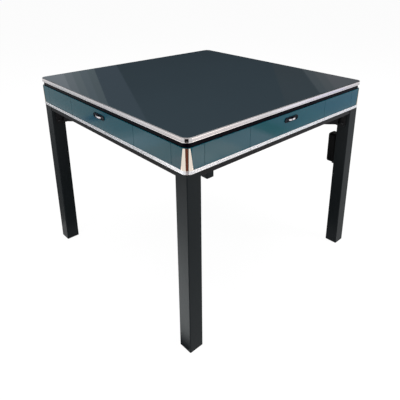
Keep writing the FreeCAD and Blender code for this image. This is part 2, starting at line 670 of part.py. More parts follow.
def drawer_guides():
    """Ledges under both sides of each drawer, and grooved rails that hold its lugs."""
    wall_in = DRAWER_HALF + GUIDE_SIDE_GAP
    wall_out = wall_in + GUIDE_WALL
    rear = -DRAWER_REAR + CUT_MARGIN
    ledge = box(DRAWER_HALF - GUIDE_LEDGE_REACH, wall_in, -APRON_INNER, rear,
                PAN_TOP, PAN_TOP + GUIDE_LEDGE_HEIGHT)
    rail = box(wall_in, wall_out, -APRON_INNER, rear, PAN_TOP, PAN_TOP + GUIDE_HEIGHT)
    groove_depth = DRAWER_HALF + LUG_WIDTH + LUG_GAP
    groove = box(wall_in - CUT_MARGIN, groove_depth, -APRON_INNER - CUT_MARGIN, rear + CUT_MARGIN,
                 LUG_BOTTOM - LUG_GAP, LUG_BOTTOM + LUG_HEIGHT + LUG_GAP)
    rail = rail.cut(groove)
    return on_four_sides([ledge, mirrored_x(ledge), rail, mirrored_x(rail)])


# ---------------------------------------------------------------- tile lifts
def lift_board():
    """Platform flush with the cloth, on a carriage bar whose ends run in the guides."""
    half = LIFT_BOARD_HALF
    y_low = -LIFT_DISTANCE - LIFT_BOARD_WIDTH / 2.0
    platform = box(-half, half, y_low, y_low + LIFT_BOARD_WIDTH, CARRIAGE_TOP, CLOTH_TOP)
    bar_half = CARRIAGE_WIDTH / 2.0
    bar = box(-half, half, -LIFT_DISTANCE - bar_half, -LIFT_DISTANCE + bar_half,
              CARRIAGE_BOTTOM, CARRIAGE_TOP)
    tongue_half = TONGUE_WIDTH / 2.0
    tongues = box(-half - TONGUE_LENGTH, half + TONGUE_LENGTH, -LIFT_DISTANCE - tongue_half,
                  -LIFT_DISTANCE + tongue_half, CARRIAGE_BOTTOM, TONGUE_TOP)
    return fused([platform, bar, tongues])


def lift_guides():
    """Channels hung under the playing board at both ends of each lift board."""
    near = LIFT_BOARD_HALF + LIFT_GUIDE_GAP
    half = LIFT_GUIDE_WIDTH / 2.0
    block = box(near, near + LIFT_GUIDE_THICKNESS, -LIFT_DISTANCE - half, -LIFT_DISTANCE + half,
                LIFT_GUIDE_BOTTOM, BOARD_BOTTOM)
    groove_half = TONGUE_WIDTH / 2.0 + TONGUE_GAP
    depth = LIFT_BOARD_HALF + TONGUE_LENGTH + TONGUE_GAP
    groove = box(near - CUT_MARGIN, depth, -LIFT_DISTANCE - groove_half,
                 -LIFT_DISTANCE + groove_half, LIFT_GUIDE_BOTTOM - CUT_MARGIN,
                 BOARD_BOTTOM + CUT_MARGIN)
    channel = block.cut(groove)
    return on_four_sides([channel, mirrored_x(channel)])


# ---------------------------------------------------------------- shuffling bowl and drive
def belt_plan(disc_radius, motor_radius, z0, z1):
    """The solid inside a belt round both pulleys, with its middle line along +X."""
    distance = MOTOR_PLACE * math.sqrt(2.0)
    lean = math.acos((disc_radius - motor_radius) / distance)
    c, s = math.cos(lean), math.sin(lean)
    corners = [V(disc_radius * c, disc_radius * s, z0),
               V(distance + motor_radius * c, motor_radius * s, z0),
               V(distance + motor_radius * c, -motor_radius * s, z0),
               V(disc_radius * c, -disc_radius * s, z0)]
    web = Part.Face(Part.makePolygon(corners + corners[:1])).extrude(V(0, 0, z1 - z0))
    return fused([cylinder(0, 0, z0, z1, disc_radius), web,
                  cylinder(distance, 0, z0, z1, motor_radius)])


def drive_belt():
    inner_disc = DISC_PULLEY_RADIUS + TURNING_GAP
    inner_motor = MOTOR_PULLEY_RADIUS + TURNING_GAP
    outside = belt_plan(inner_disc + BELT_THICKNESS, inner_motor + BELT_THICKNESS,
                        BELT_BOTTOM, BELT_BOTTOM + BELT_HEIGHT)
    inside = belt_plan(inner_disc, inner_motor, BELT_BOTTOM - CUT_MARGIN,
                       BELT_BOTTOM + BELT_HEIGHT + CUT_MARGIN)
    return [turned(outside.cut(inside), -135.0)]


def shuffle_bowl():
    """Round tub on a skirt; the belt leaves through a window in the skirt."""
    wall = tube(PAN_TOP, BOWL_TOP, BOWL_RADIUS, BOWL_RADIUS - BOWL_WALL)
    floor = tube(BOWL_FLOOR_TOP - BOWL_WALL, BOWL_FLOOR_TOP, BOWL_RADIUS - BOWL_WALL / 2.0,
                 HUB_RADIUS + TURNING_GAP)
    tub = fused([wall, floor])
    half = DISC_PULLEY_RADIUS + BELT_THICKNESS + BELT_WINDOW_GAP
    window = box(0, BOWL_RADIUS + CUT_MARGIN, -half, half, PAN_TOP - CUT_MARGIN,
                 BELT_BOTTOM + BELT_HEIGHT + BELT_WINDOW_GAP)
    return [tub.cut(turned(window, -135.0))]


def tube(z0, z1, outer, inner):
    """A tube or washer round the table's middle."""
    return cylinder(0, 0, z0, z1, outer).cut(
        cylinder(0, 0, z0 - CUT_MARGIN, z1 + CUT_MARGIN, inner))


def shuffle_disc():
    """Turning plate and pulley on a hub that runs round the column."""
    hub = tube(PAN_TOP + HUB_PAN_GAP, FLANGE_BOTTOM - DISC_HUB_TOP_GAP, HUB_RADIUS, HUB_BORE)
    plate = tube(DISC_BOTTOM, DISC_BOTTOM + DISC_THICKNESS, DISC_RADIUS, HUB_RADIUS)
    pulley = tube(PULLEY_BOTTOM, PULLEY_TOP, DISC_PULLEY_RADIUS, HUB_RADIUS)
    return [plate, hub, pulley]


def console_column():
    """Fixed hollow column that carries the console through the turning disc."""
    column = tube(PAN_TOP, CONSOLE_BOTTOM, COLUMN_RADIUS, COLUMN_BORE)
    flange = tube(FLANGE_BOTTOM, CONSOLE_BOTTOM, COLUMN_FLANGE_RADIUS, COLUMN_BORE)
    return [fused([column, flange])]


def disc_motor():
    """Motor on a flange with four pillars, bored for its shaft."""
    x = y = -MOTOR_PLACE
    half = MOTOR_FLANGE / 2.0
    body = cylinder(x, y, MOTOR_BODY_BOTTOM, MOTOR_BODY_BOTTOM + MOTOR_HEIGHT, MOTOR_RADIUS)
    flange = box(x - half, x + half, y - half, y + half, MOTOR_FLANGE_BOTTOM, MOTOR_BODY_BOTTOM)
    reach = half - MOTOR_PILLAR_EDGE
    pillars = [cylinder(x + i * reach, y + j * reach, PAN_TOP, MOTOR_FLANGE_BOTTOM,
                        MOTOR_PILLAR_RADIUS) for i in (-1, 1) for j in (-1, 1)]
    bore_top = MOTOR_FLANGE_BOTTOM + MOTOR_SHAFT_HOLD + TURNING_GAP
    bore = cylinder(x, y, MOTOR_FLANGE_BOTTOM - CUT_MARGIN, bore_top,
                    MOTOR_SHAFT_RADIUS + TURNING_GAP)
    return [fused([body, flange] + pillars).cut(bore)]


def motor_pulley():
    x = y = -MOTOR_PLACE
    wheel = cylinder(x, y, PULLEY_BOTTOM, PULLEY_TOP, MOTOR_PULLEY_RADIUS)
    shaft = cylinder(x, y, PULLEY_BOTTOM, MOTOR_FLANGE_BOTTOM + MOTOR_SHAFT_HOLD,
                     MOTOR_SHAFT_RADIUS)
    return [fused([wheel, shaft])]


def power_electronics():
    """Power box in the front right corner and the circuit board in the back right one."""
    corner = APRON_INNER - ELECTRONICS_WALL_GAP
    power = box(corner - POWER_BOX_WIDTH, corner, -corner, -corner + POWER_BOX_LENGTH, PAN_TOP,
                PAN_TOP + POWER_BOX_HEIGHT)
    half_length, half_width = CIRCUIT_LENGTH / 2.0, CIRCUIT_WIDTH / 2.0
    x, y = corner - half_width, corner - half_length
    plate_bottom = PAN_TOP + CIRCUIT_RISE
    plate_top = plate_bottom + CIRCUIT_THICKNESS
    plate = box(x - half_width, x + half_width, y - half_length, y + half_length,
                plate_bottom, plate_top)
    chip_half = CHIP_LENGTH / 2.0
    chip = box(x - chip_half, x + chip_half, y - chip_half, y + chip_half, plate_top,
               plate_top + CHIP_HEIGHT)
    in_x, in_y = half_width - CIRCUIT_PILLAR_EDGE, half_length - CIRCUIT_PILLAR_EDGE
    pillars = [cylinder(x + i * in_x, y + j * in_y, PAN_TOP, plate_bottom, CIRCUIT_PILLAR_RADIUS)
               for i in (-1, 1) for j in (-1, 1)]
    return [power, fused([plate, chip] + pillars)]


# ---------------------------------------------------------------- console
def button(gap, z0, z1):
    """The front button's outline, grown by gap on every side."""
    half_length, half_width = BUTTON_LENGTH / 2.0 + gap, BUTTON_WIDTH / 2.0 + gap
    return rounded_box(-half_length, half_length, -BUTTON_DISTANCE - half_width,
                       -BUTTON_DISTANCE + half_width, z0, z1, BUTTON_ROUND + gap)


def console_housing():
    top_edge = min(CONSOLE_CHAMFER, LARGEST_FILLET * CONSOLE_PROUD)
    body = cylinder(0, 0, CONSOLE_BOTTOM, CONSOLE_TOP, CONSOLE_RADIUS)
    rim = [e for e in body.Edges if e.Closed and abs(e.BoundBox.ZMin - CONSOLE_TOP) < SAME_PLACE]
    body = body.makeChamfer(top_edge, rim)
    body = body.cut(cylinder(0, 0, CONSOLE_TOP - DICE_WELL_DEPTH, CONSOLE_TOP + CUT_MARGIN,
                             DICE_WELL_RADIUS))
    button_bottom = CONSOLE_TOP + BUTTON_PROUD - BUTTON_HEIGHT
    floor = button_bottom - BUTTON_TRAVEL - BUTTON_BOTTOM_GAP
    for pocket in on_four_sides([button(BUTTON_SIDE_GAP, floor, CONSOLE_TOP + CUT_MARGIN)]):
        body = body.cut(pocket)
    return [body]


def dice_dome():
    """Clear cap over the dice well."""
    base = CONSOLE_TOP - DICE_WELL_DEPTH
    foot = DICE_WELL_RADIUS - DOME_GAP
    radius = (foot ** 2 + DOME_HEIGHT ** 2) / (2.0 * DOME_HEIGHT)
    centre = V(0, 0, base + DOME_HEIGHT - radius)
    outside = Part.makeSphere(radius, centre)
    inside = Part.makeSphere(radius - DOME_WALL, centre)
    above = cylinder(0, 0, base, base + 2.0 * radius, 2.0 * radius)
    return [outside.common(above).cut(inside)]


def dice():
    base = CONSOLE_TOP - DICE_WELL_DEPTH
    half = DIE_SIZE / 2.0
    dice_pair = []
    for x in (-DIE_SPREAD, DIE_SPREAD):
        die = box(x - half, x + half, -half, half, base, base + DIE_SIZE)
        dice_pair.append(die.makeFillet(DIE_ROUND, die.Edges))
    return dice_pair


def console_button():
    top = CONSOLE_TOP + BUTTON_PROUD
    return button(0.0, top - BUTTON_HEIGHT, top)


# ---------------------------------------------------------------- adapter
def adapter_housing():
    """Power adapter with rounded edges and a cable gland underneath."""
    half = ADAPTER_WIDTH / 2.0
    near = -LEG_INNER + CRADLE_THICKNESS
    body = box(LEG_CENTRE - half, LEG_CENTRE + half, near, near + ADAPTER_DEPTH,
               ADAPTER_BOTTOM, ADAPTER_BOTTOM + ADAPTER_HEIGHT)
    far = near + ADAPTER_DEPTH
    far_edges = [e for e in body.Edges if abs(e.BoundBox.YMin - far) < SAME_PLACE]
    wall = min(ADAPTER_WIDTH, ADAPTER_DEPTH)
    body = body.makeFillet(min(ADAPTER_ROUND, LARGEST_FILLET * wall), far_edges)
    gland = cylinder(LEG_CENTRE, near + ADAPTER_DEPTH - GLAND_FROM_FACE,
                     ADAPTER_BOTTOM - GLAND_LENGTH, ADAPTER_BOTTOM + CUT_MARGIN, GLAND_RADIUS)
    return [fused([body, gland])]


def adapter_cradle():
    """Back plate with screw tabs and a shelf under the adapter."""
    half = CRADLE_WIDTH / 2.0
    y = -LEG_INNER
    low = ADAPTER_BOTTOM - CRADLE_SHELF - CRADLE_TAB
    high = ADAPTER_BOTTOM + ADAPTER_HEIGHT + CRADLE_TAB
    plate = box(LEG_CENTRE - half, LEG_CENTRE + half, y, y + CRADLE_THICKNESS, low, high)
    reach = ADAPTER_DEPTH - GLAND_FROM_FACE - GLAND_RADIUS - CRADLE_SHELF_GAP
    shelf = box(LEG_CENTRE - half, LEG_CENTRE + half, y, y + CRADLE_THICKNESS + reach,
                ADAPTER_BOTTOM - CRADLE_SHELF, ADAPTER_BOTTOM)
    cradle = fused([plate, shelf])
    for place in cradle_bolt_places():
        cradle = cradle.cut(bolt_hole(place))
    return [cradle]


# ---------------------------------------------------------------- output
LEG_TURNS = {"front_right": FRONT, "back_right": RIGHT, "back_left": BACK, "front_left": LEFT}

SINGLE_NODES = {
    "cover_glass": cover_glass, "cover_board": cover_board, "cover_edge_band": cover_edge_band,
    "cover_pads": cover_pads, "rim_frame": rim_frame, "playing_board": playing_board,
    "playing_cloth": playing_cloth, "apron_boards": apron_boards, "side_panels": side_panels,
    "corner_posts": corner_posts, "lower_trim": lower_trim, "base_pan": base_pan,
    "base_frame": base_frame, "cross_frame": cross_frame, "leg_brackets": leg_brackets,
    "frame_bolts": frame_bolts, "foot_caps": foot_caps, "drawer_guides": drawer_guides,
    "lift_guides": lift_guides, "shuffle_bowl": shuffle_bowl, "shuffle_disc": shuffle_disc,
    "disc_motor": disc_motor, "motor_pulley": motor_pulley, "drive_belt": drive_belt,
    "console_column": console_column, "console_housing": console_housing,
    "dice_dome": dice_dome, "dice": dice, "power_electronics": power_electronics,
    "adapter_housing": adapter_housing, "adapter_cradle": adapter_cradle,
}

PER_SIDE_NODES = {
    "drawer_face": drawer_face, "drawer_trim": drawer_trim, "drawer_box": drawer_box,
    "drawer_pull": drawer_pull, "lift_board": lift_board, "console_button": console_button,
}


def main():
    os.makedirs("parts", exist_ok=True)
    for node, make in SINGLE_NODES.items():
        write(node, make())
    for node, make in PER_SIDE_NODES.items():
        piece = make()
        for side, angle in SIDES.items():
            write(node + "_" + side, [turned(piece, angle)])
    for corner, angle in LEG_TURNS.items():
        holes = cradle_bolt_places() if corner == "front_right" else []
        write("leg_" + corner, [turned(front_right_leg(holes), angle)])
    print("drawers travel %.1f mm, tile lifts %.1f mm" % (DRAWER_TRAVEL, LIFT_TRAVEL))


main()
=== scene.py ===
"""Looks of a four-legged game table with a lift-off dining cover and four drawers.

Run as a script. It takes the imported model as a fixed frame, replaces some of its
pieces by more detailed ones, gives every piece its finish and sets up a small studio.
Metres, +Z up; the front is -Y and the left is -X.
"""

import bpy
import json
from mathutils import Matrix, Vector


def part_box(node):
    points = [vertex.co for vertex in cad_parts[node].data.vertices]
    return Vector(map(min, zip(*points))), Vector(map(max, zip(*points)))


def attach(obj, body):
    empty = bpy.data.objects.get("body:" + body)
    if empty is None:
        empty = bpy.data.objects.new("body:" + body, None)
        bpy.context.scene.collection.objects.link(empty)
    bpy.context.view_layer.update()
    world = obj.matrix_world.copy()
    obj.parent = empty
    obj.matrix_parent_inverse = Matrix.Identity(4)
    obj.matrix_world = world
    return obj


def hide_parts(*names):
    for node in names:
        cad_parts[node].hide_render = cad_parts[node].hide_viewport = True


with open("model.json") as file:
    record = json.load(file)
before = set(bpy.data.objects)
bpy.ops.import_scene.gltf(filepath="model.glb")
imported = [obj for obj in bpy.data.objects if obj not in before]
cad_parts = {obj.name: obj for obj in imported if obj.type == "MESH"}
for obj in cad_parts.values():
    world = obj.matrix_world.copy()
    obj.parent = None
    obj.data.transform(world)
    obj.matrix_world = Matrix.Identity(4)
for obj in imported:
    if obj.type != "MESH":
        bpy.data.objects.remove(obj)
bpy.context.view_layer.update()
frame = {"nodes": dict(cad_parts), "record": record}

import json
import math
from functools import partial, wraps

import bmesh
import bpy
from mathutils import Matrix, Vector

bl_info = {
    "name": "Game Table Looks",
    "version": (1, 0, 0),
    "blender": (4, 5, 0),
    "location": "View3D > Sidebar > Game Table",
    "description": "Detailed pieces, finishes and a studio for a square game table",
    "category": "Object",
}

SIDES = {"front": 0, "right": 1, "back": 2, "left": 3}     # quarter turns from the front
CORNERS = ("front_left", "front_right", "back_left", "back_right")
UP = Vector((0.0, 0.0, 1.0))
QUARTER = math.pi / 2.0
SAME_PLACE = 0.000002          # points closer than this are one point
SHARP = math.radians(38.0)     # edges that turn more than this look sharp
SHARP_RIDGES = math.radians(60.0)
FINISH = "_finish"
NODE_SLOT = {part["node"]: part["material_slot"] for part in frame["record"]["subparts"]}
NODE_BODY = {node: body for body, nodes in frame["record"]["behaviour"]["bodies"].items()
             for node in nodes}

# Sizes of the frame's own pieces that their boxes don't give.
TABLE_CORNER = 0.024           # radius of the band's and the trim's corners
BAND_LIP = 0.010               # reach of the band's lip under the board
DRAWER_SEAM = 0.001            # between a drawer and the fixed trim beside it
CAP_REACH = 0.006              # straight end of a trim cap beside its bend
LIFT_TONGUE = 0.008            # tongue at each end of a lift board, under the cloth
CLOTH_GAP = 0.001              # round the lift boards and the console
PULL_PLATE = 0.003             # thickness of a drawer pull's plate
BOLT_HEAD = 0.0034
BOLT_SHANK = 0.003             # its radius
DICE_WELL = 0.037              # its radius
BUTTON_CORNER = 0.004
GLAND_SIZE = 0.006             # length and radius of the adapter's cable gland
GLAND_FROM_FACE = 0.020        # its axis behind the adapter's ribbed face


# ---------------------------------------- node helpers
def fill(tree, item, inputs):
    """Gives a node's inputs plain values, sockets or other nodes, which give their first output."""
    for key, value in inputs.items():
        if isinstance(value, bpy.types.Node):
            value = value.outputs[0]
        if isinstance(value, bpy.types.NodeSocket):
            tree.links.new(value, item.inputs[key])
        else:
            item.inputs[key].default_value = value


def add_node(tree, kind, inputs=None, **settings):
    item = tree.nodes.new(kind)
    for name, value in settings.items():
        setattr(item, name, value)
    fill(tree, item, inputs or {})
    return item


def calc(tree, operation, *values):
    return add_node(tree, "ShaderNodeMath", dict(enumerate(values)), operation=operation)


def vary(tree, base, mask, amount):
    """base, more or less by half of amount as mask goes from 0 to 1."""
    return calc(tree, "MULTIPLY_ADD", calc(tree, "SUBTRACT", mask, 0.5), amount, base)


def mix_colours(tree, factor, first, second):
    mixer = add_node(tree, "ShaderNodeMix", {0: factor, 6: first, 7: second}, data_type="RGBA")
    return mixer.outputs[2]


def shade(tree, base, value):
    """A colour made lighter or darker by value."""
    return add_node(tree, "ShaderNodeHueSaturation", {"Color": base, "Value": value})


def noise(tree, place, scale, detail=2.0, roughness=0.5):
    return add_node(tree, "ShaderNodeTexNoise", {"Vector": place, "Scale": scale, "Detail": detail,
                                                 "Roughness": roughness})


def stretched(tree, place, stretch):
    return add_node(tree, "ShaderNodeVectorMath", {0: place, 1: stretch}, operation="MULTIPLY")


def spot(tree):
    """The place on the piece."""
    return add_node(tree, "ShaderNodeTexCoord").outputs["Object"]


def socket_name(keyword):
    """Grain Scale for grain_scale, and so on."""
    return keyword.replace("_", " ").title()


# ---------------------------------------- shared effects
GREY = (0.1, 0.1, 0.1, 1.0)
DUST = (0.35, 0.33, 0.3, 1.0)
# Colour of the painted edge highlight, the lighter line along edges.
PAINTED_EDGE_LIGHT = (0.16, 0.165, 0.17, 1.0)
VALUE, VECTOR, COLOR = "NodeSocketFloat", "NodeSocketVector", "NodeSocketColor"


def shared_effect(title):
    """Turns a build function into one that gives its node group, built the first time.

    The build function's keywords are the group's inputs, with their defaults. It gets the
    group's tree and the inputs' sockets, and returns the group's outputs by name.
    """
    def decorate(build):
        @wraps(build)
        def group():
            tree = bpy.data.node_groups.get(title)
            if tree:
                return tree
            tree = bpy.data.node_groups.new(title, "ShaderNodeTree")
            inputs = build.__kwdefaults__
            for keyword, default in inputs.items():
                kind = VALUE if isinstance(default, float) else {3: VECTOR, 4: COLOR}[len(default)]
                socket = tree.interface.new_socket(socket_name(keyword), in_out="INPUT",
                                                   socket_type=kind)
                socket.default_value = default
            given = tree.nodes.new("NodeGroupInput").outputs
            results = build(tree, **dict(zip(inputs, given)))
            for label in results:
                tree.interface.new_socket(label, in_out="OUTPUT",
                                          socket_type=COLOR if label == "Color" else VALUE)
            fill(tree, tree.nodes.new("NodeGroupOutput"), results)
            return tree
        return group
    return decorate


@shared_effect("Powder Coat")
def powder_coat_effect(tree, *, color=GREY, roughness=0.45, grain_scale=1500.0, mottle=0.25):
    """Fine pebbled paint with a slow mottle in colour and sheen."""
    place = spot(tree)
    grain = noise(tree, place, grain_scale, 3.0)
    tone = vary(tree, 1.0, noise(tree, place, 7.0, 4.0), mottle)
    return {"Color": shade(tree, color, tone),
            "Roughness": vary(tree, roughness, grain, 0.18), "Height": grain}


@shared_effect("Gloss Lacquer")
def lacquer_effect(tree, *, color=GREY, roughness=0.08, ripple_scale=120.0, smudge=0.06,
                   depth=0.10):
    """Long soft ripples of a sprayed or moulded gloss surface, and faint hand smudges."""
    place = spot(tree)
    marks = noise(tree, place, 14.0, 5.0, 0.62)
    tone = vary(tree, 1.0, noise(tree, place, 3.5, 2.0), depth)
    return {"Color": shade(tree, color, tone),
            "Roughness": vary(tree, roughness, marks, smudge),
            "Height": noise(tree, place, ripple_scale, 1.0)}


@shared_effect("Drawn Metal")
def drawn_metal_effect(tree, *, color=GREY, roughness=0.25, stretch=(6.0, 6.0, 3000.0),
                       contrast=0.12):
    """Lines left by drawing or turning, long in one direction."""
    place = spot(tree)
    lines = noise(tree, stretched(tree, place, stretch), 1.0, 3.0, 0.65)
    cloud = noise(tree, place, 9.0, 3.0)
    tone = vary(tree, vary(tree, 1.0, lines, contrast), cloud, 0.06)
    return {"Color": shade(tree, color, tone),
            "Roughness": calc(tree, "MULTIPLY", roughness, vary(tree, 1.0, lines, 0.5)),
            "Height": lines}


@shared_effect("Moulded Grain")
def moulded_effect(tree, *, color=GREY, roughness=0.55, grain_scale=1300.0, mottle=0.16):
    """Spark-eroded grain of moulded plastic or rubber."""
    place = spot(tree)
    cells = add_node(tree, "ShaderNodeTexVoronoi", {"Vector": place, "Scale": grain_scale})
    tone = vary(tree, 1.0, noise(tree, place, 11.0, 3.0), mottle)
    return {"Color": shade(tree, color, tone),
            "Roughness": vary(tree, roughness, cells, 0.14), "Height": cells}


@shared_effect("Wood Grain")
def wood_effect(tree, *, color=GREY, dark_color=GREY, roughness=0.55, stretch=(3.0, 40.0, 40.0)):
    """Long grain with fine pores."""
    place = stretched(tree, spot(tree), stretch)
    bend = noise(tree, place, 0.35, 2.0)
    bands = add_node(tree, "ShaderNodeTexWave",
                     {"Vector": place, "Scale": 0.55, "Distortion": 9.0, "Detail": 3.0,
                      "Detail Scale": 0.7}, bands_direction="Y").outputs["Fac"]
    pores = noise(tree, stretched(tree, place, (1.0, 9.0, 9.0)), 2.4, 4.0, 0.7)
    grain = calc(tree, "ADD", calc(tree, "MULTIPLY", bands, 0.45),
                 calc(tree, "MULTIPLY", calc(tree, "ADD", pores, bend), 0.28))
    return {"Color": mix_colours(tree, grain, dark_color, color),
            "Roughness": vary(tree, roughness, pores, 0.18), "Height": pores}


@shared_effect("Brushed Pile")
def pile_effect(tree, *, color=GREY, contrast=0.6):
    """Short brushed pile over a fine weave."""
    place = spot(tree)
    threads = [add_node(tree, "ShaderNodeTexWave", {"Vector": place, "Scale": 260.0,
                                                    "Distortion": 1.2, "Detail": 2.0},
                        bands_direction=way).outputs["Fac"] for way in "XY"]
    fibres = noise(tree, place, 1700.0, 4.0, 0.7)
    brushed = noise(tree, stretched(tree, place, (4.0, 26.0, 4.0)), 1.0, 3.0)
    weave = calc(tree, "MULTIPLY", *threads)
    tone = vary(tree, vary(tree, 1.0, fibres, contrast), brushed, 0.35)
    return {"Color": shade(tree, color, tone),
            "Height": calc(tree, "ADD", calc(tree, "MULTIPLY", weave, 0.35), fibres)}


@shared_effect("Edge Wear")
def painted_edge_highlight_effect(tree, *, color=GREY, highlight_color=PAINTED_EDGE_LIGHT, reach=0.0012, amount=0.5):
    """A lighter, broken line along edges: a painted edge highlight."""
    rounded = add_node(tree, "ShaderNodeBevel", {"Radius": reach}, samples=4)
    plain = add_node(tree, "ShaderNodeNewGeometry").outputs["Normal"]
    turn = add_node(tree, "ShaderNodeVectorMath", {0: rounded, 1: plain},
                    operation="DOT_PRODUCT").outputs["Value"]
    edge = calc(tree, "MULTIPLY", calc(tree, "SUBTRACT", 1.0, turn), 6.0)
    broken = calc(tree, "MULTIPLY", edge, noise(tree, spot(tree), 160.0, 4.0, 0.7))
    mask = calc(tree, "MINIMUM", calc(tree, "MULTIPLY", broken, amount), 1.0)
    return {"Color": mix_colours(tree, mask, color, highlight_color)}


@shared_effect("Dust Film")
def dust_effect(tree, *, color=GREY, dust_color=DUST, amount=0.12):
    """A thin film of dust on what faces up."""
    normal = add_node(tree, "ShaderNodeNewGeometry").outputs["Normal"]
    facing = add_node(tree, "ShaderNodeSeparateXYZ", {0: normal}).outputs["Z"]
    patches = noise(tree, spot(tree), 24.0, 6.0, 0.66)
    lying = calc(tree, "MULTIPLY", calc(tree, "MAXIMUM", facing, 0.0), patches)
    mask = calc(tree, "MULTIPLY", lying, amount)
    return {"Color": mix_colours(tree, mask, color, dust_color)}


# ---------------------------------------- finishes
def place_effect(tree, effect, **inputs):
    """Places a shared effect in a material; the keywords are its inputs."""
    named = {socket_name(keyword): value for keyword, value in inputs.items()}
    return add_node(tree, "ShaderNodeGroup", named, node_tree=effect()).outputs


def finished(slot, effect, relief, edge_highlight_amount=0.0, dust=0.0, shader=None, **inputs):
    """The slot's material: an effect, with painted edge highlights and dust where asked, feeds its
    shader.
    """
    material = bpy.data.materials.new(slot + FINISH)
    material.use_nodes = True
    tree = material.node_tree
    surface = place_effect(tree, effect, color=paint(slot), **inputs)
    feeds = {name: surface[name] for name in ("Color", "Roughness") if name in surface}
    feeds["Base Color"] = feeds.pop("Color")
    # Painted edge highlight: a lighter line along the edges.
    if edge_highlight_amount:
        feeds["Base Color"] = place_effect(tree, painted_edge_highlight_effect, color=feeds["Base Color"],
                                           amount=edge_highlight_amount)["Color"]
    if dust:
        feeds["Base Color"] = place_effect(tree, dust_effect, color=feeds["Base Color"],
                                           amount=dust)["Color"]
    feeds["Normal"] = add_node(tree, "ShaderNodeBump", {"Height": surface["Height"],
                                                        "Distance": relief})
    for settings in ({"Base Color": paint(slot)}, shader or {}, feeds):
        fill(tree, tree.nodes["Principled BSDF"], settings)
    return material


def powder_coated(slot, roughness, specular=0.10):
    # Its lighter edges are painted edge highlights.
    return finished(slot, powder_coat_effect, 0.00004, edge_highlight_amount=0.35, dust=0.05,
                    shader={"Specular IOR Level": specular}, roughness=roughness)


def lacquered(slot, roughness, coat=0.0, ripple=120.0, smudge=0.05, depth=0.1, relief=0.00001,
              specular=0.5):
    shader = {"Coat Weight": coat, "Coat Roughness": 0.03, "Specular IOR Level": specular}
    return finished(slot, lacquer_effect, relief, shader=shader, roughness=roughness,
                    ripple_scale=ripple, smudge=smudge, depth=depth)


def drawn_metal(slot, roughness, stretch, contrast=0.12, relief=0.000004):
    return finished(slot, drawn_metal_effect, relief, shader={"Metallic": 1.0},
                    roughness=roughness, stretch=stretch, contrast=contrast)


def moulded(slot, roughness, grain=1300.0, relief=0.00004, mottle=0.16, dust=0.04, specular=0.2):
    return finished(slot, moulded_effect, relief, dust=dust, shader={"Specular IOR Level": specular},
                    roughness=roughness, grain_scale=grain, mottle=mottle)


def wooden(slot, stretch=(3.0, 40.0, 40.0), roughness=0.55):
    dark = (*(channel * 0.45 for channel in paint(slot)[:3]), 1.0)
    return finished(slot, wood_effect, 0.00006, dark_color=dark, roughness=roughness,
                    stretch=stretch)


def baize(slot):
    shader = {"Roughness": 0.92, "Sheen Weight": 0.35, "Sheen Roughness": 0.4}
    return finished(slot, pile_effect, 0.00035, dust=0.04, shader=shader)


def clear_plastic(slot):
    return finished(slot, lacquer_effect, 0.000004, roughness=0.03, ripple_scale=60.0,
                    smudge=0.04, depth=0.02, shader={"Transmission Weight": 1.0, "IOR": 1.49})


# The lines along the band and the trims.
extruded = partial(drawn_metal, stretch=(6.0, 6.0, 900.0), contrast=0.06, relief=0.000002)

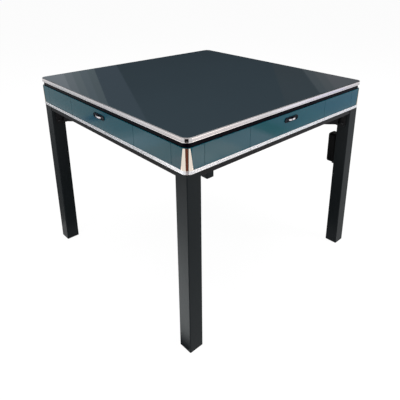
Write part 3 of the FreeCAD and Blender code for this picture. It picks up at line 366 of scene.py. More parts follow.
# Each finish: its label and linear colour, which a user may change, and what makes it.
FINISHES = {
    "top_glass": ("Glass top", (0.028, 0.042, 0.052),
                  partial(lacquered, roughness=0.035, ripple=5.0, smudge=0.02, relief=0.00002)),
    "cover_wood": ("Cover board", (0.120, 0.066, 0.034), wooden),
    "band_aluminium": ("Edge band", (0.545, 0.515, 0.520), partial(extruded, roughness=0.13)),
    "bead_bright": ("Band beads", (0.640, 0.610, 0.610),
                    partial(extruded, roughness=0.12, contrast=0.03, relief=0.000001)),
    # Near-black pads: their own black rubber, darkened further as painted shade of the recess under
    # the cover.
    "pad_rubber": ("Cover pads", (0.002, 0.002, 0.002),
                   partial(moulded, roughness=0.75, grain=900.0, dust=0.0, specular=0.02)),
    # Near-black rim: its own black plastic, darkened further as painted shade of the recess under the
    # cover.
    "rim_black": ("Rim", (0.0022, 0.0012, 0.0050),
                  partial(lacquered, roughness=0.20, specular=0.02)),
    "board_wood": ("Playing board", (0.150, 0.088, 0.046),
                   partial(wooden, stretch=(36.0, 3.0, 36.0))),
    "green_cloth": ("Playing cloth", (0.004, 0.060, 0.042), baize),
    "teal_panel": ("Side panels", (0.006, 0.106, 0.145),
                   partial(lacquered, roughness=0.10, ripple=45.0, depth=0.22, specular=0.2)),
    "post_metal": ("Corner posts", (0.760, 0.680, 0.590),
                   partial(drawn_metal, roughness=0.07, stretch=(60.0, 60.0, 4.0), contrast=0.05,
                           relief=0.000002)),
    "trim_aluminium": ("Lower trim", (0.910, 0.910, 0.930), partial(extruded, roughness=0.18)),
    "leg_steel": ("Legs", (0.0155, 0.0200, 0.0225),
                  partial(powder_coated, roughness=0.36, specular=0.07)),
    "base_steel": ("Under-frame", (0.012, 0.012, 0.014), partial(powder_coated, roughness=0.42)),
    "bolt_steel": ("Bolts", (0.030, 0.030, 0.032),
                   partial(drawn_metal, roughness=0.34, stretch=(900.0, 900.0, 900.0),
                           contrast=0.2)),
    "foot_plastic": ("Foot caps", (0.004, 0.004, 0.004), partial(moulded, roughness=0.6)),
    "apron_wood": ("Apron boards", (0.020, 0.015, 0.012),
                   partial(wooden, stretch=(4.0, 4.0, 60.0), roughness=0.5)),
    "drawer_plastic": ("Drawer trays", (0.012, 0.012, 0.014), partial(moulded, roughness=0.5)),
    "pull_dark": ("Drawer pulls", (0.003, 0.005, 0.013),
                  partial(lacquered, roughness=0.16, ripple=300.0, specular=0.07)),
    "bow_chrome": ("Pull bows", (0.720, 0.680, 0.700),
                   partial(drawn_metal, roughness=0.10, stretch=(500.0, 500.0, 40.0),
                           contrast=0.05)),
    "guide_plastic": ("Guides", (0.520, 0.520, 0.490), partial(moulded, roughness=0.4, dust=0.1)),
    "lift_plastic": ("Tile lifts", (0.006, 0.048, 0.036), partial(moulded, roughness=0.5)),
    "bowl_plastic": ("Shuffling bowl", (0.014, 0.018, 0.018),
                     partial(moulded, roughness=0.45, dust=0.12)),
    "disc_plastic": ("Turning disc", (0.170, 0.170, 0.160),
                     partial(moulded, roughness=0.5, grain=700.0, relief=0.0001)),
    "column_steel": ("Column", (0.380, 0.385, 0.400),
                     partial(drawn_metal, roughness=0.3, stretch=(5.0, 5.0, 1800.0))),
    "motor_steel": ("Motor", (0.210, 0.220, 0.230), partial(powder_coated, roughness=0.4)),
    "pulley_aluminium": ("Motor pulley", (0.450, 0.450, 0.460),
                         partial(drawn_metal, roughness=0.25, stretch=(4.0, 4.0, 2500.0))),
    "belt_rubber": ("Drive belt", (0.006, 0.006, 0.006),
                    partial(moulded, roughness=0.8, grain=1800.0)),
    "console_plastic": ("Console", (0.006, 0.006, 0.008),
                        partial(lacquered, roughness=0.12, coat=0.3)),
    "clear_dome": ("Dome", (0.900, 0.950, 0.960), clear_plastic),
    "dice_white": ("Dice", (0.780, 0.770, 0.720),
                   partial(lacquered, roughness=0.18, coat=0.4, ripple=500.0)),
    "button_plastic": ("Buttons", (0.520, 0.500, 0.450),
                       partial(lacquered, roughness=0.22, ripple=400.0)),
    "pip_red": ("Red pips and marks", (0.420, 0.010, 0.010),
                partial(lacquered, roughness=0.25, ripple=500.0)),
    "pip_black": ("Dark pips", (0.004, 0.004, 0.004),
                  partial(lacquered, roughness=0.35, ripple=500.0)),
    "electronics": ("Electronics", (0.008, 0.070, 0.030),
                    partial(moulded, roughness=0.45, grain=300.0, mottle=0.5, dust=0.1)),
    "adapter_plastic": ("Adapter", (0.003, 0.003, 0.0035),
                        partial(moulded, roughness=0.42, specular=0.06)),
    "studio_floor": ("Studio floor", (0.300, 0.300, 0.300), None),
}


def finish(slot):
    """The slot's material, made the first time it's asked for."""
    return bpy.data.materials.get(slot + FINISH) or FINISHES[slot][2](slot)


def paint(slot):
    return (*getattr(bpy.context.scene.table_colours, slot), 1.0)


# ---------------------------------------- settings
def length(label, text, default):
    return bpy.props.FloatProperty(name=label, description=text, default=default, min=0.0,
                                   max=1.0, precision=5, unit="LENGTH", subtype="DISTANCE")


def count(label, text, default, low, high):
    return bpy.props.IntProperty(name=label, description=text, default=default, min=low, max=high)


class TableSizes(bpy.types.PropertyGroup):
    """Sizes of the details that the frame leaves open."""
    glass_edge: length("Glass edge", "Radius of the pencil edge round the glass top", 0.0014)
    glass_gap: length("Glass gap", "Gap between the glass and the band", 0.0003)
    bead_height: length("Bead height", "Height of each bright bead on the band", 0.0042)
    bead_depth: length("Bead depth", "How far the band's middle lies behind its beads", 0.0007)
    bead_round: length("Bead rounding", "Rounding of the beads' inner edges", 0.0004)
    band_round: length("Band rounding", "Rounding of the band's upper and lower edges", 0.0017)
    ridge_depth: length("Ridge depth", "Depth of the fine ridges on the lower trim", 0.0001)
    trim_groove: length("Trim groove", "Depth of the two grooves in the lower trim", 0.0012)
    trim_joint: length("Trim joint", "Gap between the lengths of trim", 0.0003)
    edge_softening: length("Softened edges", "Bevel on the edges of the plain pieces", 0.0004)
    post_softening: length("Post edges", "Bevel on the corner posts and the panels", 0.00025)
    pull_rim: length("Pull rim", "Width of the rim round a drawer pull", 0.0016)
    pull_dish: length("Pull dish", "Depth of the dish inside a drawer pull", 0.0018)
    bow_length: length("Bow length", "Length of the bow of a drawer pull", 0.033)
    bow_height: length("Bow height", "Height of the bow of a drawer pull", 0.0056)
    bow_thickness: length("Bow thickness", "Thickness of the bow of a drawer pull", 0.0022)
    notch_width: length("Notch width", "Width of the notch in a pull's bow", 0.0038)
    notch_depth: length("Notch depth", "Depth of the notch in a pull's bow", 0.0014)
    socket_width: length("Bolt socket", "Width across the flats of a bolt's socket", 0.0032)
    pip_radius: length("Pip radius", "Radius of the pips on the dice", 0.00125)
    button_crown: length("Button crown", "Rounding of a button's upper edge", 0.0016)
    adapter_round: length("Adapter rounding", "Rounding of the adapter's ends", 0.009)
    adapter_groove: length("Adapter groove", "Width of the joint between the adapter's halves", 0.0012)
    cloth_edge: length("Cloth edge", "Rounding of the cloth's cut edges", 0.0005)
    ridge_count: count("Ridges", "Fine ridges on each land of the lower trim", 3, 1, 6)
    vent_count: count("Vent ribs", "Ribs on the adapter's face", 9, 0, 20)
    corner_steps: count("Corner steps", "Facets in each rounded corner", 12, 4, 32)


def colour(label, value):
    return bpy.props.FloatVectorProperty(name=label, description="Colour of: " + label.lower(),
                                         default=value, min=0.0, max=1.0, size=3, subtype="COLOR")


class TableColours(bpy.types.PropertyGroup):
    """One colour for each finish."""
    __annotations__ = {slot: colour(*entry[:2]) for slot, entry in FINISHES.items()}


def sizes():
    return bpy.context.scene.table_sizes


# ---------------------------------------- mesh helpers
def rounded_rectangle(x0, x1, y0, y1, radius, steps):
    """Stations (point, inward direction) round a rectangle, from the front left corner on."""
    centres = ((x0 + radius, y0 + radius), (x1 - radius, y0 + radius),
               (x1 - radius, y1 - radius), (x0 + radius, y1 - radius))
    stations = []
    for quarter, (cx, cy) in enumerate(centres):
        for step in range(steps + 1):
            angle = math.pi + (quarter + step / steps) * QUARTER
            way = Vector((math.cos(angle), math.sin(angle), 0.0))
            stations.append((Vector((cx, cy, 0.0)) + way * radius, -way))
    return stations


def square_outline(half, radius):
    return rounded_rectangle(-half, half, -half, half, radius, sizes().corner_steps)


def straight(x0, x1, y):
    """Stations along a straight front edge, with the inside towards +Y."""
    return [(Vector((x, y, 0.0)), Vector((0.0, 1.0, 0.0))) for x in (x0, x1)]


def skin(mesh, stations, profile, closed_path=True, closed_profile=True, part=0):
    """Skins (inset, height) points along stations and caps what stays open."""
    rings = [[mesh.verts.new(point + inward * inset + UP * z) for inset, z in profile]
             for point, inward in stations]
    spans = len(rings) if closed_path else len(rings) - 1
    strips = len(profile) if closed_profile else len(profile) - 1
    faces = []
    for i in range(spans):
        here, ahead = rings[i], rings[(i + 1) % len(rings)]
        for j in range(strips):
            k = (j + 1) % len(profile)
            faces.append(mesh.faces.new((here[j], ahead[j], ahead[k], here[k])))
    if not closed_path:
        faces += [mesh.faces.new(rings[0]), mesh.faces.new(rings[-1])]
    if not closed_profile:
        faces += [mesh.faces.new([ring[end] for ring in rings]) for end in (0, -1)]
    for face in faces:
        face.material_index = part


def shell(stations, profile, **options):
    """A new mesh, skinned."""
    mesh = bmesh.new()
    skin(mesh, stations, profile, **options)
    return mesh


def turned(profile, centre=(0.0, 0.0), segments=32, part=0, closed_profile=False):
    """A new mesh, turned about an upright axis from (radius, height) points."""
    angles = [2.0 * math.pi * step / segments for step in range(segments)]
    stations = [(Vector((*centre, 0.0)), Vector((-math.cos(a), -math.sin(a), 0.0))) for a in angles]
    return shell(stations, [(-radius, z) for radius, z in profile],
                 closed_profile=closed_profile, part=part)


def edge_arc(inset, z, radius, start, stop, steps=4):
    """Profile points on an arc round (inset, z), angles in quarter turns from the inside."""
    points = []
    for step in range(steps + 1):
        angle = (start + (stop - start) * step / steps) * QUARTER
        points.append((inset + radius * math.cos(angle), z + radius * math.sin(angle)))
    return points


def lower_edge(inset, z, radius, steps=4):
    """A rounded lower edge: the arc from the underside at z up to the wall at inset."""
    return edge_arc(inset + radius, z + radius, radius, 3.0, 2.0, steps)


def upper_edge(inset, z, radius, steps=4):
    """A rounded upper edge: the arc from the wall at inset up to the top at z."""
    return edge_arc(inset + radius, z - radius, radius, 2.0, 1.0, steps)


def quarter_turn(number):
    return Matrix.Rotation(number * QUARTER, 4, "Z")


def turn_side(mesh, side):
    """Turns what was drawn on the front side to another side."""
    mesh.transform(quarter_turn(SIDES[side]))


def add_copies(target, source, places=(Matrix(),)):
    """Adds a copy of source to target at each place, and frees source."""
    for place in places:
        copies = {vert: target.verts.new(place @ vert.co) for vert in source.verts}
        for face in source.faces:
            new = target.faces.new([copies[vert] for vert in face.verts])
            new.material_index = face.material_index
    source.free()


def new_object(name, data):
    piece = bpy.data.objects.new(name, data)
    bpy.context.scene.collection.objects.link(piece)
    return piece


def mesh_object(name, mesh, *materials):
    data = bpy.data.meshes.new(name)
    mesh.to_mesh(data)
    mesh.free()
    for material in materials:
        data.materials.append(material)
    return new_object(name, data)


def add_piece(name, mesh, node, own=None, extra=(), replaces=True, sharp=SHARP):
    """Makes a mesh a piece on node's body, with own or else node's finish, then the extra ones."""
    bmesh.ops.recalc_face_normals(mesh, faces=mesh.faces)
    piece = mesh_object(name, mesh, *(finish(slot) for slot in (own or NODE_SLOT[node], *extra)))
    piece.data.shade_smooth()
    piece.data.set_sharp_from_angle(angle=sharp)
    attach(piece, NODE_BODY[node])
    if replaces:
        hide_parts(node)
    return piece


def add_modifier(piece, kind, **settings):
    modifier = piece.modifiers.new(kind.capitalize(), kind)
    for name, value in settings.items():
        setattr(modifier, name, value)


def dress(*nodes, softening=0.0):
    """Gives carried-over nodes their finish, and softened edges where asked."""
    for node in nodes:
        piece = frame["nodes"][node]
        for slot in piece.material_slots:
            slot.material = finish(NODE_SLOT[node])
        if softening:
            add_modifier(piece, "WELD", merge_threshold=SAME_PLACE)
            add_modifier(piece, "DECIMATE", decimate_type="DISSOLVE", angle_limit=math.radians(0.5))
            add_modifier(piece, "BEVEL", width=softening, segments=2, limit_method="ANGLE",
                         angle_limit=math.radians(40.0), use_clamp_overlap=True)
            add_modifier(piece, "WEIGHTED_NORMAL", keep_sharp=True)


def separate_boxes(node):
    """(lowest, highest) corner of each separate solid of a node."""
    mesh = bmesh.new()
    mesh.from_mesh(frame["nodes"][node].data)
    bmesh.ops.remove_doubles(mesh, verts=mesh.verts, dist=SAME_PLACE)
    left, boxes = set(mesh.verts), []
    while left:
        waiting, solid = [left.pop()], []
        while waiting:
            vert = waiting.pop()
            solid.append(vert.co.copy())
            near = {edge.other_vert(vert) for edge in vert.link_edges} & left
            left -= near
            waiting += near
        boxes.append([Vector(pick(co[axis] for co in solid) for axis in range(3))
                      for pick in (min, max)])
    mesh.free()
    return boxes


class TablePart:
    """What the operators have in common."""
    bl_options = {"REGISTER", "UNDO"}


# ---------------------------------------- cover
def glass_top():
    low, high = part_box("cover_glass")
    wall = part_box("cover_edge_band")[1].x - high.x
    gap, edge = sizes().glass_gap, sizes().glass_edge
    profile = [(edge / 3.0, low.z), (0.0, low.z + edge / 3.0)]
    profile += upper_edge(0.0, high.z, edge) + [(2.0 * edge, high.z)]
    outline = square_outline(high.x - gap, TABLE_CORNER - wall - gap)
    add_piece("Glass_Top", shell(outline, profile, closed_profile=False), "cover_glass")


def edge_band():
    """A band with a bright bead along each edge, a hollow middle and a lip under the board."""
    low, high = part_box("cover_edge_band")
    wall = high.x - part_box("cover_glass")[1].x
    lip_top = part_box("cover_board")[0].z
    tall, deep = sizes().bead_height, sizes().bead_depth
    soft, big = sizes().bead_round, sizes().band_round
    lower_bead, upper_bead = low.z + tall, high.z - tall
    profile = lower_edge(0.0, low.z, big) + upper_edge(0.0, lower_bead, soft)
    profile += [(deep, lower_bead), (deep, upper_bead)]
    profile += lower_edge(0.0, upper_bead, soft) + upper_edge(0.0, high.z, big)
    profile += [(wall, high.z), (wall, lip_top), (BAND_LIP + wall, lip_top),
                (BAND_LIP + wall, low.z)]
    mesh = shell(square_outline(high.x, TABLE_CORNER), profile)
    for face in mesh.faces:
        face.material_index = 0 if lower_bead < face.calc_center_median().z < upper_bead else 1
    add_piece("Edge_Band", mesh, "cover_edge_band", extra=("bead_bright",))


class TABLE_OT_cover(TablePart, bpy.types.Operator):
    """Glass top, beaded band, board and pads of the lift-off cover"""
    bl_idname = "table.cover"
    bl_label = "Dining Cover"

    def execute(self, context):
        glass_top()
        edge_band()
        dress("cover_board")
        dress("cover_pads", softening=sizes().edge_softening)
        return {"FINISHED"}


# ---------------------------------------- playing surface
def cloth_openings():
    """The lift slots as (x0, x1, y0, y1) rectangles, and the console hole's radius."""
    rectangles = []
    for side in SIDES:
        low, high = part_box("lift_board_" + side)
        in_x, in_y = (LIFT_TONGUE, 0.0) if side in ("front", "back") else (0.0, LIFT_TONGUE)
        rectangles.append((low.x + in_x - CLOTH_GAP, high.x - in_x + CLOTH_GAP,
                           low.y + in_y - CLOTH_GAP, high.y - in_y + CLOTH_GAP))
    return rectangles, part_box("console_housing")[1].x + CLOTH_GAP


def playing_cloth():
    """The cloth is one sheet, cut out for the lifts and the console."""
    low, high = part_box("playing_cloth")
    rectangles, hole = cloth_openings()
    loops = [[(x0, y0), (x1, y0), (x1, y1), (x0, y1)]
             for x0, x1, y0, y1 in [(low.x, high.x, low.y, high.y), *rectangles]]
    turns = [2.0 * math.pi * step / 96 for step in range(96)]
    loops.append([(hole * math.cos(angle), hole * math.sin(angle)) for angle in turns])
    mesh = bmesh.new()
    edges = []
    for loop in loops:
        verts = [mesh.verts.new((x, y, high.z)) for x, y in loop]
        edges += [mesh.edges.new((verts[i - 1], verts[i])) for i in range(len(verts))]
    bmesh.ops.triangle_fill(mesh, use_beauty=True, use_dissolve=False, edges=edges)
    grown = bmesh.ops.extrude_face_region(mesh, geom=list(mesh.faces) + list(mesh.edges))
    lowered = [item for item in grown["geom"] if isinstance(item, bmesh.types.BMVert)]
    bmesh.ops.translate(mesh, vec=(0.0, 0.0, low.z - high.z), verts=lowered)
    upper = [edge for edge in mesh.edges
             if all(vert.co.z > high.z - SAME_PLACE for vert in edge.verts)
             and len(edge.link_faces) == 2 and edge.calc_face_angle(0.0) > QUARTER / 2.0]
    bmesh.ops.bevel(mesh, geom=upper, offset=sizes().cloth_edge, segments=2, affect="EDGES",
                    profile=0.5)
    piece = add_piece("Playing_Cloth", mesh, "playing_cloth")


class TABLE_OT_playing_surface(TablePart, bpy.types.Operator):
    """Rim, playing board and cloth"""
    bl_idname = "table.playing_surface"
    bl_label = "Playing Surface"

    def execute(self, context):
        dress("rim_frame", softening=2.0 * sizes().edge_softening)
        dress("playing_board")
        playing_cloth()
        return {"FINISHED"}


# ---------------------------------------- panels and trim
class TABLE_OT_side_panels(TablePart, bpy.types.Operator):
    """Apron boards, coloured panels and polished corner posts"""
    bl_idname = "table.side_panels"
    bl_label = "Side Panels"

    def execute(self, context):
        dress("apron_boards")
        dress("side_panels", "corner_posts", softening=sizes().post_softening)
        return {"FINISHED"}


TRIM_LANDS = 3
TRIM_GROOVE_HEIGHT = 0.0015
RIDGE_SLOPE = 0.14             # share of a ridge's height, at each side
GROOVE_SLOPE = 0.15            # share of a groove's height, at each side


def trim_profile(low_z, high_z, thickness):
    """Lands of fine ridges with a groove between them, as (inset, height) points."""
    pitch = (high_z - low_z) / TRIM_LANDS
    deep, fine, ridges = sizes().trim_groove, sizes().ridge_depth, sizes().ridge_count
    points = []
    for land in range(TRIM_LANDS):
        is_last = land == TRIM_LANDS - 1
        start = low_z + pitch * land + (TRIM_GROOVE_HEIGHT / 2.0 if land else 0.0)
        stop = low_z + pitch * (land + 1) - (0.0 if is_last else TRIM_GROOVE_HEIGHT / 2.0)
        step = (stop - start) / ridges
        for ridge in range(ridges):
            base = start + step * ridge
            points += [(fine, base), (0.0, base + step * RIDGE_SLOPE),
                       (0.0, base + step * (1.0 - RIDGE_SLOPE))]
        points.append((fine, stop))
        if not is_last:
            points += [(deep, stop + TRIM_GROOVE_HEIGHT * GROOVE_SLOPE),
                       (deep, stop + TRIM_GROOVE_HEIGHT * (1.0 - GROOVE_SLOPE))]
    return points + [(thickness, high_z), (thickness, low_z)]


def lower_trim():
    """Fixed lengths beside the drawers, and a cap bent round each corner."""
    low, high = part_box("lower_trim")
    half, joint, steps = high.x, sizes().trim_joint, sizes().corner_steps
    profile = trim_profile(low.z, high.z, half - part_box("rim_frame")[1].x)
    drawer_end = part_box("drawer_face_front")[1].x + DRAWER_SEAM
    cap_start = half - TABLE_CORNER - CAP_REACH
    strip_end, cap_end = cap_start - joint / 2.0, cap_start + joint / 2.0
    bend = square_outline(half, TABLE_CORNER)[steps + 1:2 * steps + 2]
    cap = [straight(cap_end, 0.0, -half)[0], *bend,
           (Vector((half, -cap_end, 0.0)), Vector((-1.0, 0.0, 0.0)))]
    one_side = bmesh.new()
    for stations in (straight(drawer_end, strip_end, -half),
                     straight(-strip_end, -drawer_end, -half), cap):
        skin(one_side, stations, profile, closed_path=False)
    mesh = bmesh.new()
    add_copies(mesh, one_side, map(quarter_turn, SIDES.values()))
    add_piece("Lower_Trim", mesh, "lower_trim", sharp=SHARP_RIDGES)


class TABLE_OT_lower_trim(TablePart, bpy.types.Operator):
    """Ridged trim round the lower edge, between the drawers"""
    bl_idname = "table.lower_trim"
    bl_label = "Lower Trim"

    def execute(self, context):
        lower_trim()
        return {"FINISHED"}


# ---------------------------------------- drawers
def drawer_trim(side):
    low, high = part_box("drawer_trim_front")
    mesh = shell(straight(low.x, high.x, low.y), trim_profile(low.z, high.z, high.y - low.y),
                 closed_path=False)
    turn_side(mesh, side)
    add_piece("Drawer_Trim_" + side, mesh, "drawer_trim_" + side, sharp=SHARP_RIDGES)


BOW_STEPS = 20
BOW_SQUARENESS = 0.62          # 1 is a round arch, less is squarer
BOW_EDGE = 0.0007              # rounding of the bow's edges
RIM_ROUNDING = 0.4             # rounding of the pull's rim, as a share of its width


def pull_bow(mesh, foot, tip):
    """An arched bar to grip, with a notch left of its middle whose dark faces paint a gap into the
    bow's glint; z is away from the drawer.
    """
    half_length, half_height = sizes().bow_length / 2.0, sizes().bow_height / 2.0
    thick = sizes().bow_thickness
    notch_half, notch_deep = sizes().notch_width / 2.0, sizes().notch_depth
    outer, inner = [], []
    for step in range(BOW_STEPS + 1):
        angle = math.pi * step / BOW_STEPS
        out = math.copysign(abs(math.cos(angle)) ** BOW_SQUARENESS, math.cos(angle))
        rise = math.sin(angle) ** BOW_SQUARENESS
        x, z = half_length * out, foot + (tip - foot) * rise
        if step == BOW_STEPS // 2 + 1:
            notch = len(outer)
            outer += [(x + notch_half, z), (x + notch_half, z - notch_deep),
                      (x - notch_half, z - notch_deep), (x - notch_half, z)]
        else:
            outer.append((x, z))
        inner.append(((half_length - thick) * out, foot + (tip - thick - foot) * rise))
    outline = outer + inner[::-1]
    lower, upper = ([mesh.verts.new((x, y, z)) for x, z in outline]
                    for y in (-half_height, half_height))
    ends = [mesh.faces.new(lower), mesh.faces.new(upper[::-1])]
    walls = [mesh.faces.new((lower[i - 1], upper[i - 1], upper[i], lower[i]))
             for i in range(len(outline))]
    # The notch's faces take the plate's dark finish: a real recess, darkened as a painted gap that
    # splits the bow's glint in two.
    for face in ends + walls:
        face.material_index = 0 if face in walls[notch + 1:notch + 4] else 1
    rims = {edge for face in ends for edge in face.edges}
    bmesh.ops.bevel(mesh, geom=list(rims), offset=BOW_EDGE, segments=3, affect="EDGES",
                    profile=0.5, material=1)


def drawer_pull(side):
    """A dished pill on the drawer's face with a bow across its middle."""
    low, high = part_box("drawer_pull_front")
    face_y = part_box("drawer_face_front")[0].y
    end, middle = (high.z - low.z) / 2.0, (low.z + high.z) / 2.0
    rim, dish = sizes().pull_rim, sizes().pull_dish
    rounding = rim * RIM_ROUNDING
    profile = [(0.0, 0.0)] + upper_edge(0.0, PULL_PLATE, rounding)
    profile += edge_arc(rim, PULL_PLATE - rounding, rounding, 1.0, 0.0)
    profile += [(rim + rounding * 1.6, PULL_PLATE - dish), (end * 0.55, PULL_PLATE - dish * 1.15)]
    outline = rounded_rectangle(low.x, high.x, -end, end, end - 0.0001, 12)
    mesh = shell(outline, profile, closed_profile=False)
    pull_bow(mesh, PULL_PLATE - dish * 1.1, face_y - low.y)
    mesh.transform(Matrix.Translation((0.0, face_y, middle)) @ Matrix.Rotation(QUARTER, 4, "X"))
    turn_side(mesh, side)
    add_piece("Drawer_Pull_" + side, mesh, "drawer_pull_" + side, extra=("bow_chrome",))


class TABLE_OT_drawers(TablePart, bpy.types.Operator):
    """Four drawers: face, ridged trim, tray and pull, and the guides that they run in"""
    bl_idname = "table.drawers"
    bl_label = "Drawers"

    def execute(self, context):
        for side in SIDES:
            dress("drawer_face_" + side, softening=sizes().post_softening)
            dress("drawer_box_" + side, softening=sizes().edge_softening)
            drawer_trim(side)
            drawer_pull(side)
        dress("drawer_guides", softening=sizes().edge_softening)
        return {"FINISHED"}


# ---------------------------------------- under-frame and legs
def bolt_shape(radius, shank):
    """A domed head above z = 0 with a six-sided socket, and its shank below."""
    flats = sizes().socket_width / 2.0
    dome = [(radius * out, BOLT_HEAD * up) for out, up in
            ((1.0, 0.0), (1.0, 0.18), (0.93, 0.5), (0.74, 0.8), (0.5, 0.97))]
    socket = [(flats * 1.25, BOLT_HEAD), (flats * 1.2, BOLT_HEAD * 0.45)]
    mesh = turned([(BOLT_SHANK, -shank), (BOLT_SHANK, 0.0)] + dome + socket, segments=24)
    for vert in mesh.verts:
        distance = vert.co.xy.length
        if distance < flats * 1.22 and vert.co.z > 0.0:
            angle = math.atan2(vert.co.y, vert.co.x) % (math.pi / 3.0) - math.pi / 6.0
            vert.co.xy *= flats / math.cos(angle) / distance
    return mesh


def frame_bolts():
    """A detailed bolt for each plain one, the head at the end nearer the table's middle."""
    mesh = bmesh.new()
    for low, high in separate_boxes("frame_bolts"):
        spread, middle = high - low, (low + high) / 2.0
        axis = max(range(3), key=lambda number: spread[number])
        outward = 1.0 if middle[axis] > 0.0 else -1.0
        seat, way = middle.copy(), Vector((0.0, 0.0, 0.0))
        seat[axis] = (low[axis] if outward > 0.0 else high[axis]) + outward * BOLT_HEAD
        way[axis] = -outward
        radius = max(spread[number] for number in range(3) if number != axis) / 2.0
        turn = UP.rotation_difference(way).to_matrix().to_4x4()
        add_copies(mesh, bolt_shape(radius, spread[axis] - BOLT_HEAD),
                   [Matrix.Translation(seat) @ turn])
    add_piece("Frame_Bolts", mesh, "frame_bolts")


class TABLE_OT_under_frame(TablePart, bpy.types.Operator):
    """Pan, bars, crossed beams, brackets and bolts"""
    bl_idname = "table.under_frame"
    bl_label = "Under-frame"

    def execute(self, context):
        dress("base_pan", "base_frame", "cross_frame", "leg_brackets",
              softening=sizes().edge_softening)
        frame_bolts()
        return {"FINISHED"}


class TABLE_OT_legs(TablePart, bpy.types.Operator):
    """Powder-coated legs and their foot caps"""
    bl_idname = "table.legs"
    bl_label = "Legs"

    def execute(self, context):
        dress(*("leg_" + corner for corner in CORNERS))
        dress("foot_caps", softening=sizes().edge_softening)
        return {"FINISHED"}


# ---------------------------------------- console
PIP_CELLS = ("4", "08", "048", "0268", "02468", "012678")     # of nine cells on each face
RED_PIPS = (1, 4)
BIG_PIP = 1.5                  # the pip of face one, against the others
PIP_RISE = 0.00006             # above the die's face
PIP_SPREAD = 0.24              # between pips, as a share of the die's size
DIE_ROUNDING = 0.13            # as a share of its size
DIE_TURNS = (("X", 0.0), ("X", 90.0), ("Y", 90.0), ("Y", -90.0), ("X", -90.0), ("X", 180.0))

# Cuts through small raised details, as (radius or inset, height above what they sit on).
RING_CUT = ((0.0004, -0.0010), (0.0004, 0.0005), (0.0012, 0.0009), (0.0026, 0.0009),
            (0.0032, 0.0004), (0.0032, -0.0010))     # radius beyond the dice well's
LENS_CUT = ((0.0, -0.0010), (0.0, 0.0003), (0.0007, 0.0008))
MARK_CUT = ((0.0024, -0.0005), (0.0024, -0.0001), (0.0018, 0.0))
RIB_CUT = ((0.0, -0.0006), (0.0, 0.0003), (0.0004, 0.0006))
LAMP_CUT = ((0.0018, -0.0006), (0.0018, 0.0003), (0.0012, 0.0006))
LENS_HALVES = (0.011, 0.0025)  # half its length and half its width
RIB_HALVES = (0.013, 0.0009)
LENS_FROM_MIDDLE = 0.098
BUTTON_CHAMFER = 0.0003


def raised(cut, base, start=0.0):
    """A cut's points, their heights counted from base and their radii from start."""
    return [(start + out, base + up) for out, up in cut]


def raised_bar(halves, end_radius, steps, profile):
    """A small raised bar along X with rounded ends."""
    half_length, half_width = halves
    outline = rounded_rectangle(-half_length, half_length, -half_width, half_width, end_radius,
                                steps)
    return shell(outline, profile, closed_profile=False)


def die(size):
    """A rounded cube whose opposite faces add up to seven."""
    cube = bmesh.new()
    bmesh.ops.create_cube(cube, size=size)
    bmesh.ops.bevel(cube, geom=list(cube.edges), offset=size * DIE_ROUNDING, segments=4,
                    affect="EDGES", profile=0.5)
    face, spread, sunk = size / 2.0, size * PIP_SPREAD, sizes().pip_radius / 3.0
    for number, (axis, angle) in enumerate(DIE_TURNS, start=1):
        radius = sizes().pip_radius * (BIG_PIP if number == 1 else 1.0)
        for cell in PIP_CELLS[number - 1]:
            row, column = divmod(int(cell), 3)
            pip = turned([(radius, face - sunk), (radius, face), (radius * 0.6, face + PIP_RISE)],
                         ((row - 1) * spread, (column - 1) * spread), 16,
                         part=1 if number in RED_PIPS else 2)
            add_copies(cube, pip, [Matrix.Rotation(math.radians(angle), 4, axis)])
    return cube


def dice():
    """Two dice, one of them turned a quarter."""
    mesh = bmesh.new()
    for low, high in separate_boxes("dice"):
        centre = (low + high) / 2.0
        turn = quarter_turn(0 if centre.x < 0.0 else 1)
        add_copies(mesh, die(high.x - low.x), [Matrix.Translation(centre) @ turn])
    add_piece("Dice", mesh, "dice", extra=("pip_red", "pip_black"))


def console_button(side):
    """A push button with a soft crown and a small mark in its middle."""
    low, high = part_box("console_button_front")
    profile = [(BUTTON_CHAMFER, low.z), (0.0, low.z + BUTTON_CHAMFER)]
    profile += upper_edge(0.0, high.z, sizes().button_crown, 5)
    outline = rounded_rectangle(low.x, high.x, low.y, high.y, BUTTON_CORNER, 8)
    mesh = shell(outline, profile, closed_profile=False)
    add_copies(mesh, turned(raised(MARK_CUT, high.z), ((low + high) / 2.0).xy, 24, part=1))
    turn_side(mesh, side)
    add_piece("Console_Button_" + side, mesh, "console_button_" + side, extra=("pip_red",))


def console_details():
    """A bright ring round the dice well and four lenses between the buttons."""
    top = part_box("console_housing")[1].z
    ring = turned(raised(RING_CUT, top, DICE_WELL), segments=96, closed_profile=True)
    add_piece("Console_Ring", ring, "console_column", own="bow_chrome", replaces=False)
    out = Matrix.Translation((0.0, -LENS_FROM_MIDDLE, 0.0))
    lenses = bmesh.new()
    add_copies(lenses, raised_bar(LENS_HALVES, 0.00249, 8, raised(LENS_CUT, top)),
               [quarter_turn(number + 0.5) @ out for number in SIDES.values()])
    add_piece("Console_Lenses", lenses, "console_housing", own="pip_red", replaces=False)


class TABLE_OT_console(TablePart, bpy.types.Operator):
    """Console with its dome, dice and buttons"""
    bl_idname = "table.console"
    bl_label = "Console"

    def execute(self, context):
        dress("console_housing", "dice_dome", "console_column")
        dice()
        console_details()
        for side in SIDES:
            console_button(side)
        return {"FINISHED"}


# ---------------------------------------- works inside
class TABLE_OT_shuffler(TablePart, bpy.types.Operator):
    """Bowl, disc, motor, belt and electronics"""
    bl_idname = "table.shuffler"
    bl_label = "Shuffler"

    def execute(self, context):
        dress("shuffle_bowl", "shuffle_disc", "disc_motor", "motor_pulley", "drive_belt",
              "power_electronics")
        return {"FINISHED"}


class TABLE_OT_tile_lifts(TablePart, bpy.types.Operator):
    """Four lift boards and the guides under the playing board"""
    bl_idname = "table.tile_lifts"
    bl_label = "Tile Lifts"

    def execute(self, context):
        dress(*("lift_board_" + side for side in SIDES), softening=sizes().edge_softening)
        dress("lift_guides")
        return {"FINISHED"}


